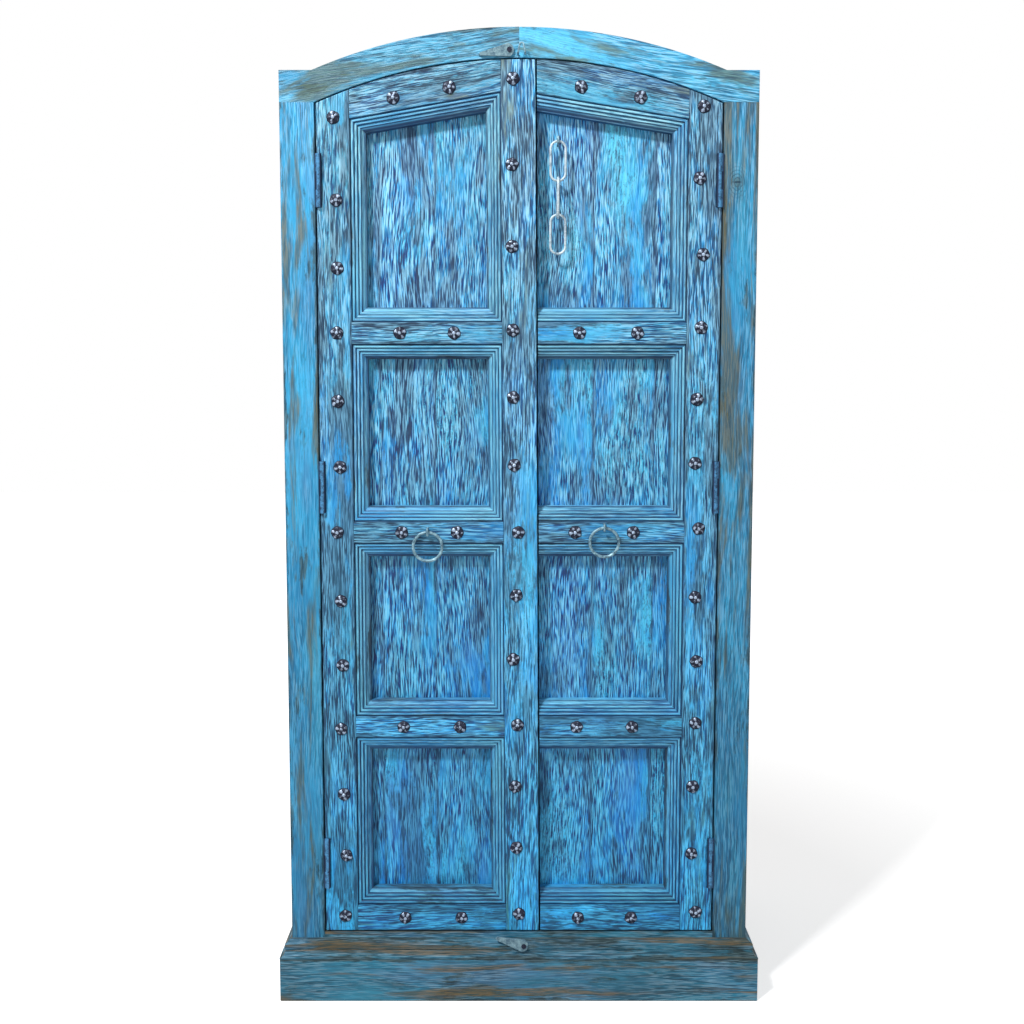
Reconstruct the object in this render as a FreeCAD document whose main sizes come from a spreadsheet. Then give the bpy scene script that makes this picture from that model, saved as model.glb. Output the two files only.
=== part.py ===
import FreeCAD, Part
import math
import operator
import os
from types import SimpleNamespace

import Sketcher

# An arched wardrobe of painted boards with two studded doors.
# X runs to the right, Y runs from front to back, Z is up, all in millimetres.
# The origin is on the floor, at the middle of the footprint.

SIZES = {
    # carcass
    "carcass_width": 915,
    "carcass_depth": 430,
    "total_height": 1912,
    "shoulder_drop": 80,
    "shoulder_length": 62.5,
    "frame_thickness": 28,
    "stile_width": 66.5,
    "header_height": 140,
    "crown_depth": 57,
    "sill_rise": 12,
    "side_thickness": 18,
    "back_thickness": 16,
    "roof_thickness": 20,
    "roof_rebate": 12,
    "floor_thickness": 18,
    "shelf_thickness": 20,
    "cleat_width": 20,
    "cleat_height": 28,
    "cleat_setback": 12,
    # plinth and its moulding
    "plinth_projection": 21.5,
    "plinth_height": 87,
    "base_moulding_height": 35,
    "base_nose_projection": 12.5,
    # doors
    "door_gap": 3,
    "door_board_thickness": 12,
    "door_frame_thickness": 33,
    "door_stop_clearance": 1.5,
    "door_stile_width": 64,
    "batten_width": 66,
    "meeting_foot": 42,
    "meeting_crown": 32,
    "bottom_rail_height": 52,
    "cross_rail_height": 42,
    "top_rail_outer_drop": 113,
    "left_top_rail_inner_drop": 62,
    "right_top_rail_inner_drop": 66,
    "moulding_width": 29,
    # butt hinges
    "hinge_height": 101.6,
    "hinge_leaf_thickness": 1.2,
    "hinge_leaf_width": 26,
    "knuckle_radius": 5,
    "knuckle_gap": 0.4,
    "knuckle_web": 3,
    "pin_radius": 2.5,
    "pin_clearance": 0.05,
    "pin_stand_off": 2,
    "notch_clearance": 0.4,
    # studs
    "stud_radius": 13,
    "stud_crown_radius": 7,
    "stud_height": 6.5,
    # ring pulls and their staples
    "ring_radius": 28.4,
    "ring_wire": 6,
    "ring_stand_off": 5.5,
    "left_ring_rise": 1,
    "right_ring_rise": 9.5,
    "staple_wire": 4.5,
    "staple_spread": 13,
    "staple_bend": 4,
    "staple_reach": 12.5,
    "staple_leg": 11,
    "staple_clearance": 0.05,
    "hang_clearance": 0.3,
    # chain
    "chain_place": 75,
    "chain_drop": 150.5,
    "chain_stand_off": 18.5,
    "link_length": 80,
    "link_width": 34,
    "link_wire": 5,
    # staple on the header, for the chain
    "header_staple_place": 4.5,
    "header_staple_spread": 14,
    "header_staple_rise": 18,
    "header_staple_reach": 13,
    "header_staple_wire": 3.5,
    "header_staple_bend": 3,
    # turn buttons
    "latch_length": 56,
    "latch_head_radius": 12.5,
    "latch_tip_radius": 3,
    "latch_thickness": 4,
    "latch_clearance": 0.3,
    "latch_hole_radius": 2.5,
    "nail_radius": 2.45,
    "nail_head_radius": 5,
    "nail_head_height": 1.5,
    "nail_depth": 18,
    "nail_clearance": 0.03,
    "top_latch_place": 18.5,
    "top_latch_angle": 82,
    "bottom_latch_place": 10,
    "bottom_latch_angle": 106,
    # how far a cutter runs past what it cuts
    "overrun": 5,
}

SIDES = {"left": -1, "right": 1}
STAVE_COUNT = 7
SIDE_BOARD_COUNT = 3
CHAIN_LINK_COUNT = 3
BACK_BOARD_COUNT = 5
KNUCKLE_COUNT = 3
KNUCKLE_SIDES = 12
STUD_SIDES = 8
WIRE_SIDES = 8
RING_RUNS = 24
BEND_RUNS = 3
LINK_BEND_RUNS = 6
FULL_TURN = 360

# heights of the cross rails and of the hinges, up the doors
RAIL_NAMES = ("lower", "middle", "upper")
RAIL_SHARES = (0.2443, 0.4717, 0.6985)
HINGE_NAMES = ("bottom", "middle", "top")
HINGE_SHARES = (0.0816, 0.5236, 0.8676)

# heights of the staple and the turn button on the header, up its depth at the crown
HEADER_STAPLE_SHARE = 0.105
TOP_LATCH_SHARE = 0.237

# height of the turn button on the base moulding, up the moulding
BOTTOM_LATCH_SHARE = 0.714

# joints of the upright boards behind each door, from the hinge side
LEFT_BOARD_SHARES = (0, 0.27, 0.52, 0.78, 1)
RIGHT_BOARD_SHARES = (0, 0.34, 0.68, 1)

# places of the ring pulls along the middle rail, from its left end
LEFT_RING_SHARE = 0.4935
RIGHT_RING_SHARE = 0.4495

# door moulding: across from the stile to the panel, up from the panel to the face
MOULDING_SHARES = (
    ((0, 0),),
    ((0, 0.87),),
    ((0.05, 0.87),),
    ((0.16, 0.90), (0.27, 0.87)),
    ((0.27, 0.79),),
    ((0.38, 0.815), (0.49, 0.785)),
    ((0.49, 0.70),),
    ((0.60, 0.72), (0.71, 0.685)),
    ((0.71, 0.61),),
    ((0.93, 0.48),),
    ((1, 0.48),),
    ((1, 0),),
)

# base moulding: out from the carcass to the plinth's face, up from the plinth
BASE_MOULDING_SHARES = (
    ((0, 0),),
    ((1, 0),),
    ((1, 0.08),),
    ((0.95, 0.08),),
    ((0.70, 0.17), (0.58, 0.36)),
    ((0.51, 0.41),),
    ((0.58, 0.46),),
    ((0.58, 0.73),),
    ((0.56, 0.78), (0.49, 0.80)),
    ((0, 1),),
)

# studs of a stile or batten: across from its outer edge, and up the ladder of rails
LEFT_STUD_SHARES = (
    (0.61, 0.01), (0.66, 0.33), (0.61, 0.65), (0.55, 0.99), (0.62, 1.32),
    (0.59, 1.65), (0.50, 2.00), (0.61, 2.33), (0.56, 2.66), (0.56, 3.00),
    (0.59, 3.24), (0.58, 3.49), (0.52, 3.79),
)
BATTEN_STUD_SHARES = (
    (0.40, 0.02), (0.33, 0.37), (0.31, 0.69), (0.38, 1.01), (0.27, 1.35),
    (0.37, 1.68), (0.44, 2.00), (0.33, 2.34), (0.31, 2.68), (0.31, 3.01),
    (0.30, 3.32), (0.31, 3.62), (0.35, 3.93),
)
RIGHT_STUD_SHARES = (
    (0.50, 0.03), (0.66, 0.34), (0.64, 0.69), (0.58, 1.02), (0.58, 1.34),
    (0.64, 1.67), (0.56, 2.02), (0.69, 2.35), (0.66, 2.67), (0.56, 3.02),
    (0.53, 3.29), (0.66, 3.57), (0.56, 3.83),
)

# the two studs of a rail, across from its left end, from the bottom rail up
LEFT_RAIL_STUD_SHARES = ((0.32, 0.70), (0.32, 0.70), (0.32, 0.69), (0.32, 0.68), (0.29, 0.66))
RIGHT_RAIL_STUD_SHARES = ((0.27, 0.65), (0.26, 0.65), (0.25, 0.65), (0.28, 0.67), (0.29, 0.68))
TOP_RAIL_STUD_RISE_SHARE = 0.36

BOARD_SHARES = {"left": LEFT_BOARD_SHARES, "right": RIGHT_BOARD_SHARES}
STUD_SHARES = {"left": LEFT_STUD_SHARES, "right": RIGHT_STUD_SHARES}
RAIL_STUD_SHARES = {"left": LEFT_RAIL_STUD_SHARES, "right": RIGHT_RAIL_STUD_SHARES}

OPERATIONS = {"+": operator.add, "-": operator.sub, "*": operator.mul, "/": operator.truediv}


class Size:
    """A number that also knows the sheet expression it comes from."""

    def __init__(self, text, value):
        self.text = text
        self.value = float(value)

    def __add__(self, other):
        return combined(self, "+", other)

    def __radd__(self, other):
        return combined(other, "+", self)

    def __sub__(self, other):
        return combined(self, "-", other)

    def __rsub__(self, other):
        return combined(other, "-", self)

    def __mul__(self, other):
        return combined(self, "*", other)

    def __rmul__(self, other):
        return combined(other, "*", self)

    def __truediv__(self, other):
        return combined(self, "/", other)

    def __neg__(self):
        return combined(0, "-", self)

    def __float__(self):
        return self.value


def as_size(number):
    """A plain number as a Size."""
    return number if isinstance(number, Size) else Size(repr(number), number)


def combined(left, sign, right):
    """The Size that joins two numbers by one sign."""
    left, right = as_size(left), as_size(right)
    value = OPERATIONS[sign](left.value, right.value)
    return Size(f"({left.text} {sign} {right.text})", value)


def root(size):
    """The square root of a Size."""
    return Size(f"sqrt({size.text})", math.sqrt(size.value))


def bind(item, prop, size):
    """Ties one property of a document object to the sheet."""
    item.setExpression(prop, as_size(size).text)


doc = FreeCAD.newDocument("wardrobe")
sheet = doc.addObject("Spreadsheet::Sheet", "sizes")
for row, (alias, number) in enumerate(SIZES.items(), start=1):
    sheet.set(f"A{row}", alias)
    sheet.set(f"B{row}", str(number))
    sheet.setAlias(f"B{row}", alias)
s = SimpleNamespace(**{alias: Size(f"sizes.{alias}", number) for alias, number in SIZES.items()})

worked = doc.addObject("App::VarSet", "worked")


def derived(name, size):
    """Keeps a size that is worked out from others under a name of its own."""
    worked.addProperty("App::PropertyFloat", name)
    bind(worked, name, size)
    return Size(f"worked.{name}", size.value)


# planes and heights that several pieces share
front = derived("front", (s.plinth_projection - s.carcass_depth) / 2)
back = derived("back", front + s.carcass_depth)
frame_back = derived("frame_back", front + s.frame_thickness)
panel = derived("panel", front + s.door_frame_thickness)
door_back = derived("door_back", panel + s.door_board_thickness)
shelf_front = derived("shelf_front", door_back + s.door_stop_clearance)
back_front = derived("back_front", back - s.back_thickness)
half = derived("half", s.carcass_width / 2)
inside = derived("inside", half - s.side_thickness)
opening = derived("opening", half - s.stile_width)
door_edge = derived("door_edge", opening - s.door_gap)
header_foot = derived("header_foot", s.total_height - s.header_height)
shoulder = derived("shoulder", s.total_height - s.shoulder_drop)
crown = derived("crown", s.total_height - s.crown_depth)
bottom_rail_top = derived(
    "bottom_rail_top", s.plinth_height + s.base_moulding_height + s.sill_rise
)
door_foot = derived("door_foot", bottom_rail_top + s.door_gap)
door_height = derived("door_height", crown - s.door_gap - door_foot)
stile_inner = derived("stile_inner", door_edge - s.door_stile_width)

# the arch over the header and the arch of the opening
arch_half = derived("arch_half", half - s.shoulder_length)
arch_radius = derived(
    "arch_radius",
    (arch_half * arch_half + s.shoulder_drop * s.shoulder_drop) / (2 * s.shoulder_drop),
)
arch_centre = derived("arch_centre", s.total_height - arch_radius)
opening_rise = derived("opening_rise", crown - header_foot)
opening_radius = derived(
    "opening_radius", (opening * opening + opening_rise * opening_rise) / (2 * opening_rise)
)
opening_centre = derived("opening_centre", crown - opening_radius)
door_radius = derived("door_radius", opening_radius - s.door_gap)

# the underside of the roof boards runs parallel to the arch
roof_share = derived("roof_share", (arch_radius - s.roof_thickness) / arch_radius)
roof_radius = derived("roof_radius", arch_radius * roof_share)
roof_half = derived("roof_half", arch_half * roof_share)
roof_foot = derived("roof_foot", arch_centre + (shoulder - arch_centre) * roof_share)

# the doors meet on a line that leans a little to the right at its foot
lean = derived("lean", (s.meeting_foot - s.meeting_crown) / (crown - door_foot))


rail_middles = {"bottom": door_foot + s.bottom_rail_height / 2}
for name, share in zip(RAIL_NAMES, RAIL_SHARES):
    rail_middles[name] = derived(f"{name}_rail_middle", door_foot + door_height * share)
rail_heights = {name: s.cross_rail_height for name in rail_middles}
rail_heights["bottom"] = s.bottom_rail_height
top_rail_outer = derived("top_rail_outer", crown - s.top_rail_outer_drop)
top_rail_inner = {
    "left": derived("left_top_rail_inner", crown - s.left_top_rail_inner_drop),
    "right": derived("right_top_rail_inner", crown - s.right_top_rail_inner_drop),
}


def arc_height(radius, centre, across):
    """Height of an arch above a point this far from the middle."""
    return centre + root(radius * radius - across * across)


def meeting_edge(side, height):
    """The inner edge of one door at a height."""
    return s.meeting_foot - lean * (height - door_foot) + side * s.door_gap / 2


def batten_edge(height):
    """The left edge of the centre batten at a height."""
    return meeting_edge(SIDES["left"], height) - s.batten_width


def bay_edge(side_name, height):
    """The side of the bays that is away from the hinges."""
    if side_name == "left":
        return batten_edge(height)
    return meeting_edge(SIDES["right"], height)


def rail_ends(side_name, height):
    """The left and right ends of a rail."""
    outer = SIDES[side_name] * stile_inner
    inner = bay_edge(side_name, height)
    return (outer, inner) if side_name == "left" else (inner, outer)


def vector(x, y, z):
    """A point in space from three sizes."""
    return FreeCAD.Vector(float(x), float(y), float(z))


def place(item, x, y, z):
    """Puts an object at a place that follows the sheet."""
    for axis, size in zip("xyz", (x, y, z)):
        bind(item, f"Placement.Base.{axis}", size)
    return item


def board(name, low, high):
    """A squared board between two corners."""
    item = doc.addObject("Part::Box", name)
    for prop, start, end in zip(("Length", "Width", "Height"), low, high):
        bind(item, prop, end - start)
    return place(item, *low)


def side_board(name, side, near, far, low, high):
    """A board between two distances from the middle plane, on one side of it."""
    start, end = (near, far) if side > 0 else (-far, -near)
    return board(name, (start, *low), (end, *high))


UPRIGHT = FreeCAD.Rotation()
BACKWARDS = FreeCAD.Rotation(FreeCAD.Vector(1, 0, 0), -90)


def rod(name, radius, length, foot, turn=UPRIGHT):
    """A round rod that points away from its foot."""
    item = doc.addObject("Part::Cylinder", name)
    bind(item, "Radius", radius)
    bind(item, "Height", length)
    item.Placement = FreeCAD.Placement(FreeCAD.Vector(), turn)
    return place(item, *foot)


def flat_sided_rod(name, sides, radius, length, foot, turn=UPRIGHT):
    """A rod with flat sides that points away from its foot."""
    item = doc.addObject("Part::Prism", name)
    item.Polygon = sides
    bind(item, "Circumradius", radius)
    bind(item, "Height", length)
    item.Placement = FreeCAD.Placement(FreeCAD.Vector(), turn)
    return place(item, *foot)


def boolean(kind, name, base, tool):
    """A cut or a common of two objects."""
    item = doc.addObject(kind, name)
    item.Base = base
    item.Tool = tool
    return item


def cut(name, base, tool):
    """What is left of the base; check_cuts makes sure that something came away."""
    item = boolean("Part::Cut", name, base, tool)
    cuts.append(item)
    return item


def common(name, base, tool):
    """What the base and the tool share."""
    return boolean("Part::Common", name, base, tool)


def fused(name, pieces):
    """One solid from several, or the piece itself where there is only one."""
    if len(pieces) == 1:
        return pieces[0]
    item = doc.addObject("Part::MultiFuse", name)
    item.Shapes = pieces
    return item


def group(name, pieces):
    """Separate solids that share one node."""
    item = doc.addObject("Part::Compound", name)
    item.Links = pieces
    return item


def shaped(name, shape):
    """A piece whose shape is worked out point by point."""
    item = doc.addObject("Part::Feature", name)
    item.Shape = shape
    return item


def arc_middle(start, end, bulge):
    """The middle of an arc of this radius, on the left of travel where the radius is positive."""
    run, rise = end[0] - start[0], end[1] - start[1]
    chord = math.hypot(run, rise)
    height = abs(bulge) - math.sqrt(bulge * bulge - chord * chord / 4)
    reach = math.copysign(height, bulge) / chord
    return ((start[0] + end[0]) / 2 - rise * reach, (start[1] + end[1]) / 2 + run * reach)


def flat(point):
    """A sketch point."""
    return FreeCAD.Vector(point[0], point[1], 0)


def outline_sketch(sketch, corners):
    """Draws a closed outline whose corners, and the radii of its arcs, follow the sheet.

    Each corner is (across, up), or (across, up, radius) where an arc leads to it.
    """
    points = [(float(corner[0]), float(corner[1])) for corner in corners]
    ends = []
    for index, corner in enumerate(corners):
        start, end = points[index - 1], points[index]
        if len(corner) > 2:
            middle = arc_middle(start, end, float(corner[2]))
            edge = Part.Arc(flat(start), flat(middle), flat(end))
        else:
            edge = Part.LineSegment(flat(start), flat(end))
        sketch.addGeometry(edge, False)
        starts_here = (sketch.getPoint(index, 1) - flat(start)).Length
        turned = starts_here > (sketch.getPoint(index, 2) - flat(start)).Length
        ends.append((2, 1) if turned else (1, 2))
        if len(corner) > 2:
            size = corner[2] if float(corner[2]) > 0 else -corner[2]
            number = sketch.addConstraint(Sketcher.Constraint("Radius", index, float(size)))
            bind(sketch, f"Constraints[{number}]", size)
    for index, corner in enumerate(corners):
        after = (index + 1) % len(corners)
        sketch.addConstraint(
            Sketcher.Constraint("Coincident", index, ends[index][1], after, ends[after][0])
        )
        for kind, size in zip(("DistanceX", "DistanceY"), corner):
            number = sketch.addConstraint(
                Sketcher.Constraint(kind, -1, 1, index, ends[index][1], float(size))
            )
            bind(sketch, f"Constraints[{number}]", size)


def front_panel(name, corners, near, far):
    """A board sawn to an outline that is seen from the front, between two depths."""
    body = doc.addObject("PartDesign::Body", name)
    sketch = body.newObject("Sketcher::SketchObject", f"{name}_outline")
    plane = next(item for item in body.Origin.OriginFeatures if item.Role == "XZ_Plane")
    sketch.AttachmentSupport = [(plane, "")]
    sketch.MapMode = "FlatFace"
    outline_sketch(sketch, corners)
    pad = body.newObject("PartDesign::Pad", f"{name}_pad")
    pad.Profile = sketch
    pad.Reversed = True
    bind(pad, "Length", far - near)
    return place(body, 0, near, 0)


def profile_wire(shares, width, height, origin, across, up):
    """A moulding's section, drawn from its shares on two directions in space."""
    def spot(share):
        return origin + across * (share[0] * width) + up * (share[1] * height)

    edges = []
    for before, step in zip(shares[-1:] + shares[:-1], shares):
        start, end = spot(before[-1]), spot(step[-1])
        if len(step) > 1:
            edges.append(Part.Arc(start, spot(step[0]), end).toShape())
        else:
            edges.append(Part.LineSegment(start, end).toShape())
    return Part.Wire(edges)


def mitred_strip(shares, height, up, outer, inner):
    """A length of moulding between two mitres.

    outer and inner each hold the two ends of one long edge, at the foot of the section.
    """
    along = (outer[1] - outer[0]).normalize()
    offset = inner[0] - outer[0]
    across = (offset - along * offset.dot(along)).normalize()
    width = offset.dot(across)
    margin = width + height
    length = (outer[1] - outer[0]).Length
    start = outer[0] - along * margin
    section = profile_wire(shares, width, height, start, across, up)
    bar = Part.Face(section).extrude(along * (length + 2 * margin))
    below = up * -height
    corners = [point + below for point in (outer[0], outer[1], inner[1], inner[0], outer[0])]
    plan = Part.Face(Part.makePolygon(corners)).extrude(up * (3 * height))
    return bar.common(plan).Solids[0]


def swing(centre, arm, axis, angle, runs):
    """Points that an arm passes as it turns about a centre in equal steps."""
    return [
        centre + FreeCAD.Rotation(axis, angle * step / runs).multVec(arm)
        for step in range(runs + 1)
    ]


def bent_points(points, radius):
    """Points along straight runs that meet in bends hammered from short flats."""
    spots = [points[0]]
    for before, corner, after in zip(points, points[1:], points[2:]):
        back_way = (before - corner).normalize()
        on_way = (after - corner).normalize()
        half_angle = back_way.getAngle(on_way) / 2
        reach = radius / math.tan(half_angle)
        centre = corner + (back_way + on_way).normalize() * (radius / math.sin(half_angle))
        start = corner + back_way * reach - centre
        end = corner + on_way * reach - centre
        turn = math.degrees(start.getAngle(end))
        spots += swing(centre, start, start.cross(end), turn, BEND_RUNS)
    return [*spots, points[-1]]


def polygon(start, along, radius, sides):
    """A regular polygon about a point, square to a direction, with a corner to the front."""
    arm = along.cross(FreeCAD.Vector(1, 0, 0))
    if arm.Length < along.Length / 2:
        arm = along.cross(FreeCAD.Vector(0, 0, 1))
    corners = swing(start, arm.normalize() * radius, along, FULL_TURN, sides)
    return Part.makePolygon(corners[:-1] + corners[:1])


def forged_wire(points, thickness):
    """Hammered bar along a line of points; a loop ends on its first point."""
    section = polygon(points[0], points[1] - points[0], thickness / 2, WIRE_SIDES)
    mitred = 1
    return Part.makePolygon(points).makePipeShell([section], True, False, mitred)


cuts = []
nodes = {}


def keep(name, item):
    """Names a finished piece."""
    item.Label = name
    nodes[name] = item
    return item


# Carcass

def make_header(side_name):
    """Half of the arched header, rebated behind for the roof boards."""
    side = SIDES[side_name]
    corners = [
        (side * opening, header_foot, side * opening_radius),
        (side * half, header_foot),
        (side * half, shoulder),
        (side * arch_half, shoulder),
        (as_size(0), s.total_height, -side * arch_radius),
        (as_size(0), crown),
    ]
    blank = front_panel(f"header_{side_name}_blank", corners, front, frame_back)
    rebated = cut(f"header_{side_name}_rebated", blank, roof_seat)
    holes = [header_leg_hole(side)]
    if side < 0:
        holes.append(nail_hole(TOP_LATCH, s.nail_depth))
    keep(f"header_{side_name}", cut(
        f"header_{side_name}", rebated, fused(f"header_{side_name}_holes", holes)
    ))


def make_roof():
    """Staves over the arch and a flat board over each shoulder."""
    near = frame_back - s.roof_rebate
    pieces = []
    for index in range(STAVE_COUNT):
        start = arch_half * (2 * index / STAVE_COUNT - 1)
        end = arch_half * (2 * (index + 1) / STAVE_COUNT - 1)
        start_top = arc_height(arch_radius, arch_centre, start)
        end_top = arc_height(arch_radius, arch_centre, end)
        corners = [
            (start * roof_share, arch_centre + (start_top - arch_centre) * roof_share, -roof_radius),
            (start, start_top),
            (end, end_top, arch_radius),
            (end * roof_share, arch_centre + (end_top - arch_centre) * roof_share),
        ]
        pieces.append(front_panel(f"roof_stave_{index + 1}", corners, near, back))
    for side_name, side in SIDES.items():
        corners = [
            (side * half, roof_foot),
            (side * half, shoulder),
            (side * arch_half, shoulder),
            (side * roof_half, roof_foot),
        ]
        pieces.append(front_panel(f"shoulder_board_{side_name}", corners, near, back))
    keep("roof_boards", group("roof_boards", pieces))


def make_back():
    """Upright back boards whose tops follow the underside of the roof."""
    corners = [
        (-inside, as_size(0)),
        (-inside, roof_foot),
        (-roof_half, roof_foot),
        (roof_half, roof_foot, roof_radius),
        (inside, roof_foot),
        (inside, as_size(0)),
    ]
    outline = front_panel("back_outline", corners, back_front, back)
    pieces = []
    for index in range(BACK_BOARD_COUNT):
        start = inside * (2 * index / BACK_BOARD_COUNT - 1)
        end = inside * (2 * (index + 1) / BACK_BOARD_COUNT - 1)
        blank = board(f"back_blank_{index + 1}", (start, back_front, as_size(0)), (end, back, s.total_height))
        pieces.append(common(f"back_board_{index + 1}", blank, outline))
    keep("back_boards", group("back_boards", pieces))


def make_carcass_side(side_name):
    """Stile, side boards, plinth board and shelf cleats of one side."""
    side = SIDES[side_name]
    floor = as_size(0)
    keep(f"stile_{side_name}", side_board(
        f"stile_{side_name}", side, opening, half, (front, floor), (frame_back, header_foot)
    ))
    depth = back - frame_back
    pieces = []
    for index in range(SIDE_BOARD_COUNT):
        near = frame_back + depth * (index / SIDE_BOARD_COUNT)
        far = frame_back + depth * ((index + 1) / SIDE_BOARD_COUNT)
        pieces.append(side_board(
            f"side_{side_name}_{index + 1}", side, inside, half, (near, floor), (far, roof_foot)
        ))
    keep(f"side_boards_{side_name}", group(f"side_boards_{side_name}", pieces))
    keep(f"plinth_{side_name}", side_board(
        f"plinth_{side_name}", side, half, half + s.plinth_projection,
        (front, floor), (back, s.plinth_height)
    ))


def make_shelves():
    """Floor board, three shelves at the height of the rails, and the cleats under them."""
    floor_near = frame_back
    keep("floor_board", board(
        "floor_board",
        (-inside, floor_near, bottom_rail_top - s.floor_thickness),
        (inside, back_front, bottom_rail_top),
    ))
    undersides = [(floor_near, bottom_rail_top - s.floor_thickness)]
    for name in ("lower", "middle", "upper"):
        middle = rail_middles[name]
        bottom = middle - s.shelf_thickness / 2
        keep(f"shelf_{name}", board(
            f"shelf_{name}", (-inside, shelf_front, bottom),
            (inside, back_front, bottom + s.shelf_thickness)
        ))
        undersides.append((shelf_front, bottom))
    for side_name, side in SIDES.items():
        cleats = []
        for index, (near, top) in enumerate(undersides):
            cleats.append(side_board(
                f"cleat_{side_name}_{index + 1}", side, inside - s.cleat_width, inside,
                (near + s.cleat_setback, top - s.cleat_height), (back_front, top)
            ))
        keep(f"shelf_cleats_{side_name}", group(f"shelf_cleats_{side_name}", cleats))


def make_plinth_front():
    """Bottom rail of the face frame and the plinth board in front of it."""
    floor = as_size(0)
    rail = board("bottom_rail_blank", (-opening, front, floor), (opening, frame_back, bottom_rail_top))
    rail_bore = nail_hole(BOTTOM_LATCH, s.base_nose_projection + s.nail_depth)
    keep("bottom_rail", cut("bottom_rail", rail, rail_bore))
    reach = half + s.plinth_projection
    keep("plinth_front", board(
        "plinth_front", (-reach, front - s.plinth_projection, floor), (reach, front, s.plinth_height)
    ))


def make_base_moulding():
    """Moulding on the plinth, mitred at the front corners."""
    top = s.plinth_height
    up = FreeCAD.Vector(0, 0, 1)
    height = float(s.base_moulding_height)
    outer = half + s.plinth_projection
    nose = front - s.plinth_projection
    strip = mitred_strip(
        BASE_MOULDING_SHARES, height, up,
        (vector(-half, front, top), vector(half, front, top)),
        (vector(-outer, nose, top), vector(outer, nose, top)),
    )
    strip_object = shaped("base_moulding_blank", strip)
    bore = nail_hole(BOTTOM_LATCH, s.base_nose_projection + s.nail_depth)
    keep("base_moulding_front", cut("base_moulding_front", strip_object, bore))
    for side_name, side in SIDES.items():
        strip = mitred_strip(
            BASE_MOULDING_SHARES, height, up,
            (vector(side * half, front, top), vector(side * half, back, top)),
            (vector(side * outer, nose, top), vector(side * outer, back, top)),
        )
        keep(f"base_moulding_{side_name}", shaped(f"base_moulding_{side_name}", strip))


# Turn buttons and their pivot nails

top_latch_height = derived("top_latch_height", crown + s.crown_depth * TOP_LATCH_SHARE)
bottom_latch_height = derived(
    "bottom_latch_height", s.plinth_height + s.base_moulding_height * BOTTOM_LATCH_SHARE
)
TOP_LATCH = (-s.top_latch_place, front, top_latch_height)
BOTTOM_LATCH = (s.bottom_latch_place, front - s.base_nose_projection, bottom_latch_height)


def nail_hole(pivot, depth):
    """The hole that a pivot nail is driven into."""
    x, y, z = pivot
    start = y - s.overrun
    return rod("nail_hole", s.nail_radius + s.nail_clearance, depth + s.overrun, (x, start, z), BACKWARDS)


def make_latch(name, pivot, angle):
    """A drop-shaped plate that turns on its nail; the angle is from hanging down."""
    spread = s.latch_head_radius - s.latch_tip_radius
    rise = derived(f"{name}_rise", spread / s.latch_length)
    reach = derived(f"{name}_reach", root(1 - rise * rise))
    head, tip = s.latch_head_radius, s.latch_tip_radius
    corners = [
        (-head * reach, -head * rise),
        (head * reach, -head * rise, head),
        (tip * reach, -s.latch_length - tip * rise),
        (as_size(0), -s.latch_length - tip, -tip),
        (-tip * reach, -s.latch_length - tip * rise, -tip),
    ]
    near = -s.latch_clearance - s.latch_thickness
    blank = front_panel(f"{name}_blank", corners, near, -s.latch_clearance)
    hole = rod(
        f"{name}_hole", s.latch_hole_radius, s.latch_thickness + 2 * s.overrun,
        (as_size(0), near - s.overrun, as_size(0)), BACKWARDS
    )
    plate = cut(name, blank, hole)
    plate.Placement = FreeCAD.Placement(
        FreeCAD.Vector(), FreeCAD.Rotation(FreeCAD.Vector(0, 1, 0), float(angle))
    )
    bind(plate, "Placement.Rotation.Angle", angle)
    keep(name, place(plate, *pivot))


def make_latch_nails():
    """A nail with a hammered head through each turn button."""
    nails = []
    plate = 2 * s.latch_clearance + s.latch_thickness
    for name, (x, y, z) in (("top", TOP_LATCH), ("bottom", BOTTOM_LATCH)):
        head_front = y - plate - s.nail_head_height
        head_place = (x, head_front, z)
        head = flat_sided_rod(
            f"{name}_nail_head", STUD_SIDES, s.nail_head_radius, s.nail_head_height,
            head_place, BACKWARDS
        )
        shank = rod(
            f"{name}_nail_shank", s.nail_radius, s.nail_head_height + plate + s.nail_depth,
            head_place, BACKWARDS
        )
        nails.append(fused(f"{name}_latch_nail", [head, shank]))
    keep("latch_nails", group("latch_nails", nails))


# Staples and the chain

def leg_hole(name, leg_foot, wire, depth):
    """The hole that one leg of a staple is driven into, from the face backwards."""
    radius = wire / 2 + s.staple_clearance
    x, y, z = leg_foot
    start = (x, y - s.overrun, z)
    return flat_sided_rod(name, WIRE_SIDES, radius, depth + s.overrun, start, BACKWARDS)


def upright_staple(x, face, low, reach):
    """A staple with one leg above the other, so that a ring hangs across it."""
    high = low + s.staple_spread
    points = [
        vector(x, face + s.staple_leg, high),
        vector(x, face - reach, high),
        vector(x, face - reach, low),
        vector(x, face + s.staple_leg, low),
    ]
    return forged_wire(bent_points(points, float(s.staple_bend)), float(s.staple_wire))


def staple_holes(name, x, face, low):
    """Both leg holes of an upright staple."""
    return fused(name, [
        leg_hole(f"{name}_low", (x, face, low), s.staple_wire, s.staple_leg),
        leg_hole(f"{name}_high", (x, face, low + s.staple_spread), s.staple_wire, s.staple_leg),
    ])


header_staple_height = derived(
    "header_staple_height", crown + s.crown_depth * HEADER_STAPLE_SHARE
)


def header_leg_hole(side):
    """The leg hole of the header staple that falls in this half of the header."""
    x = s.header_staple_place + side * s.header_staple_spread / 2
    return leg_hole(
        "header_leg_hole", (x, front, header_staple_height), s.header_staple_wire, s.staple_leg
    )


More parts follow.
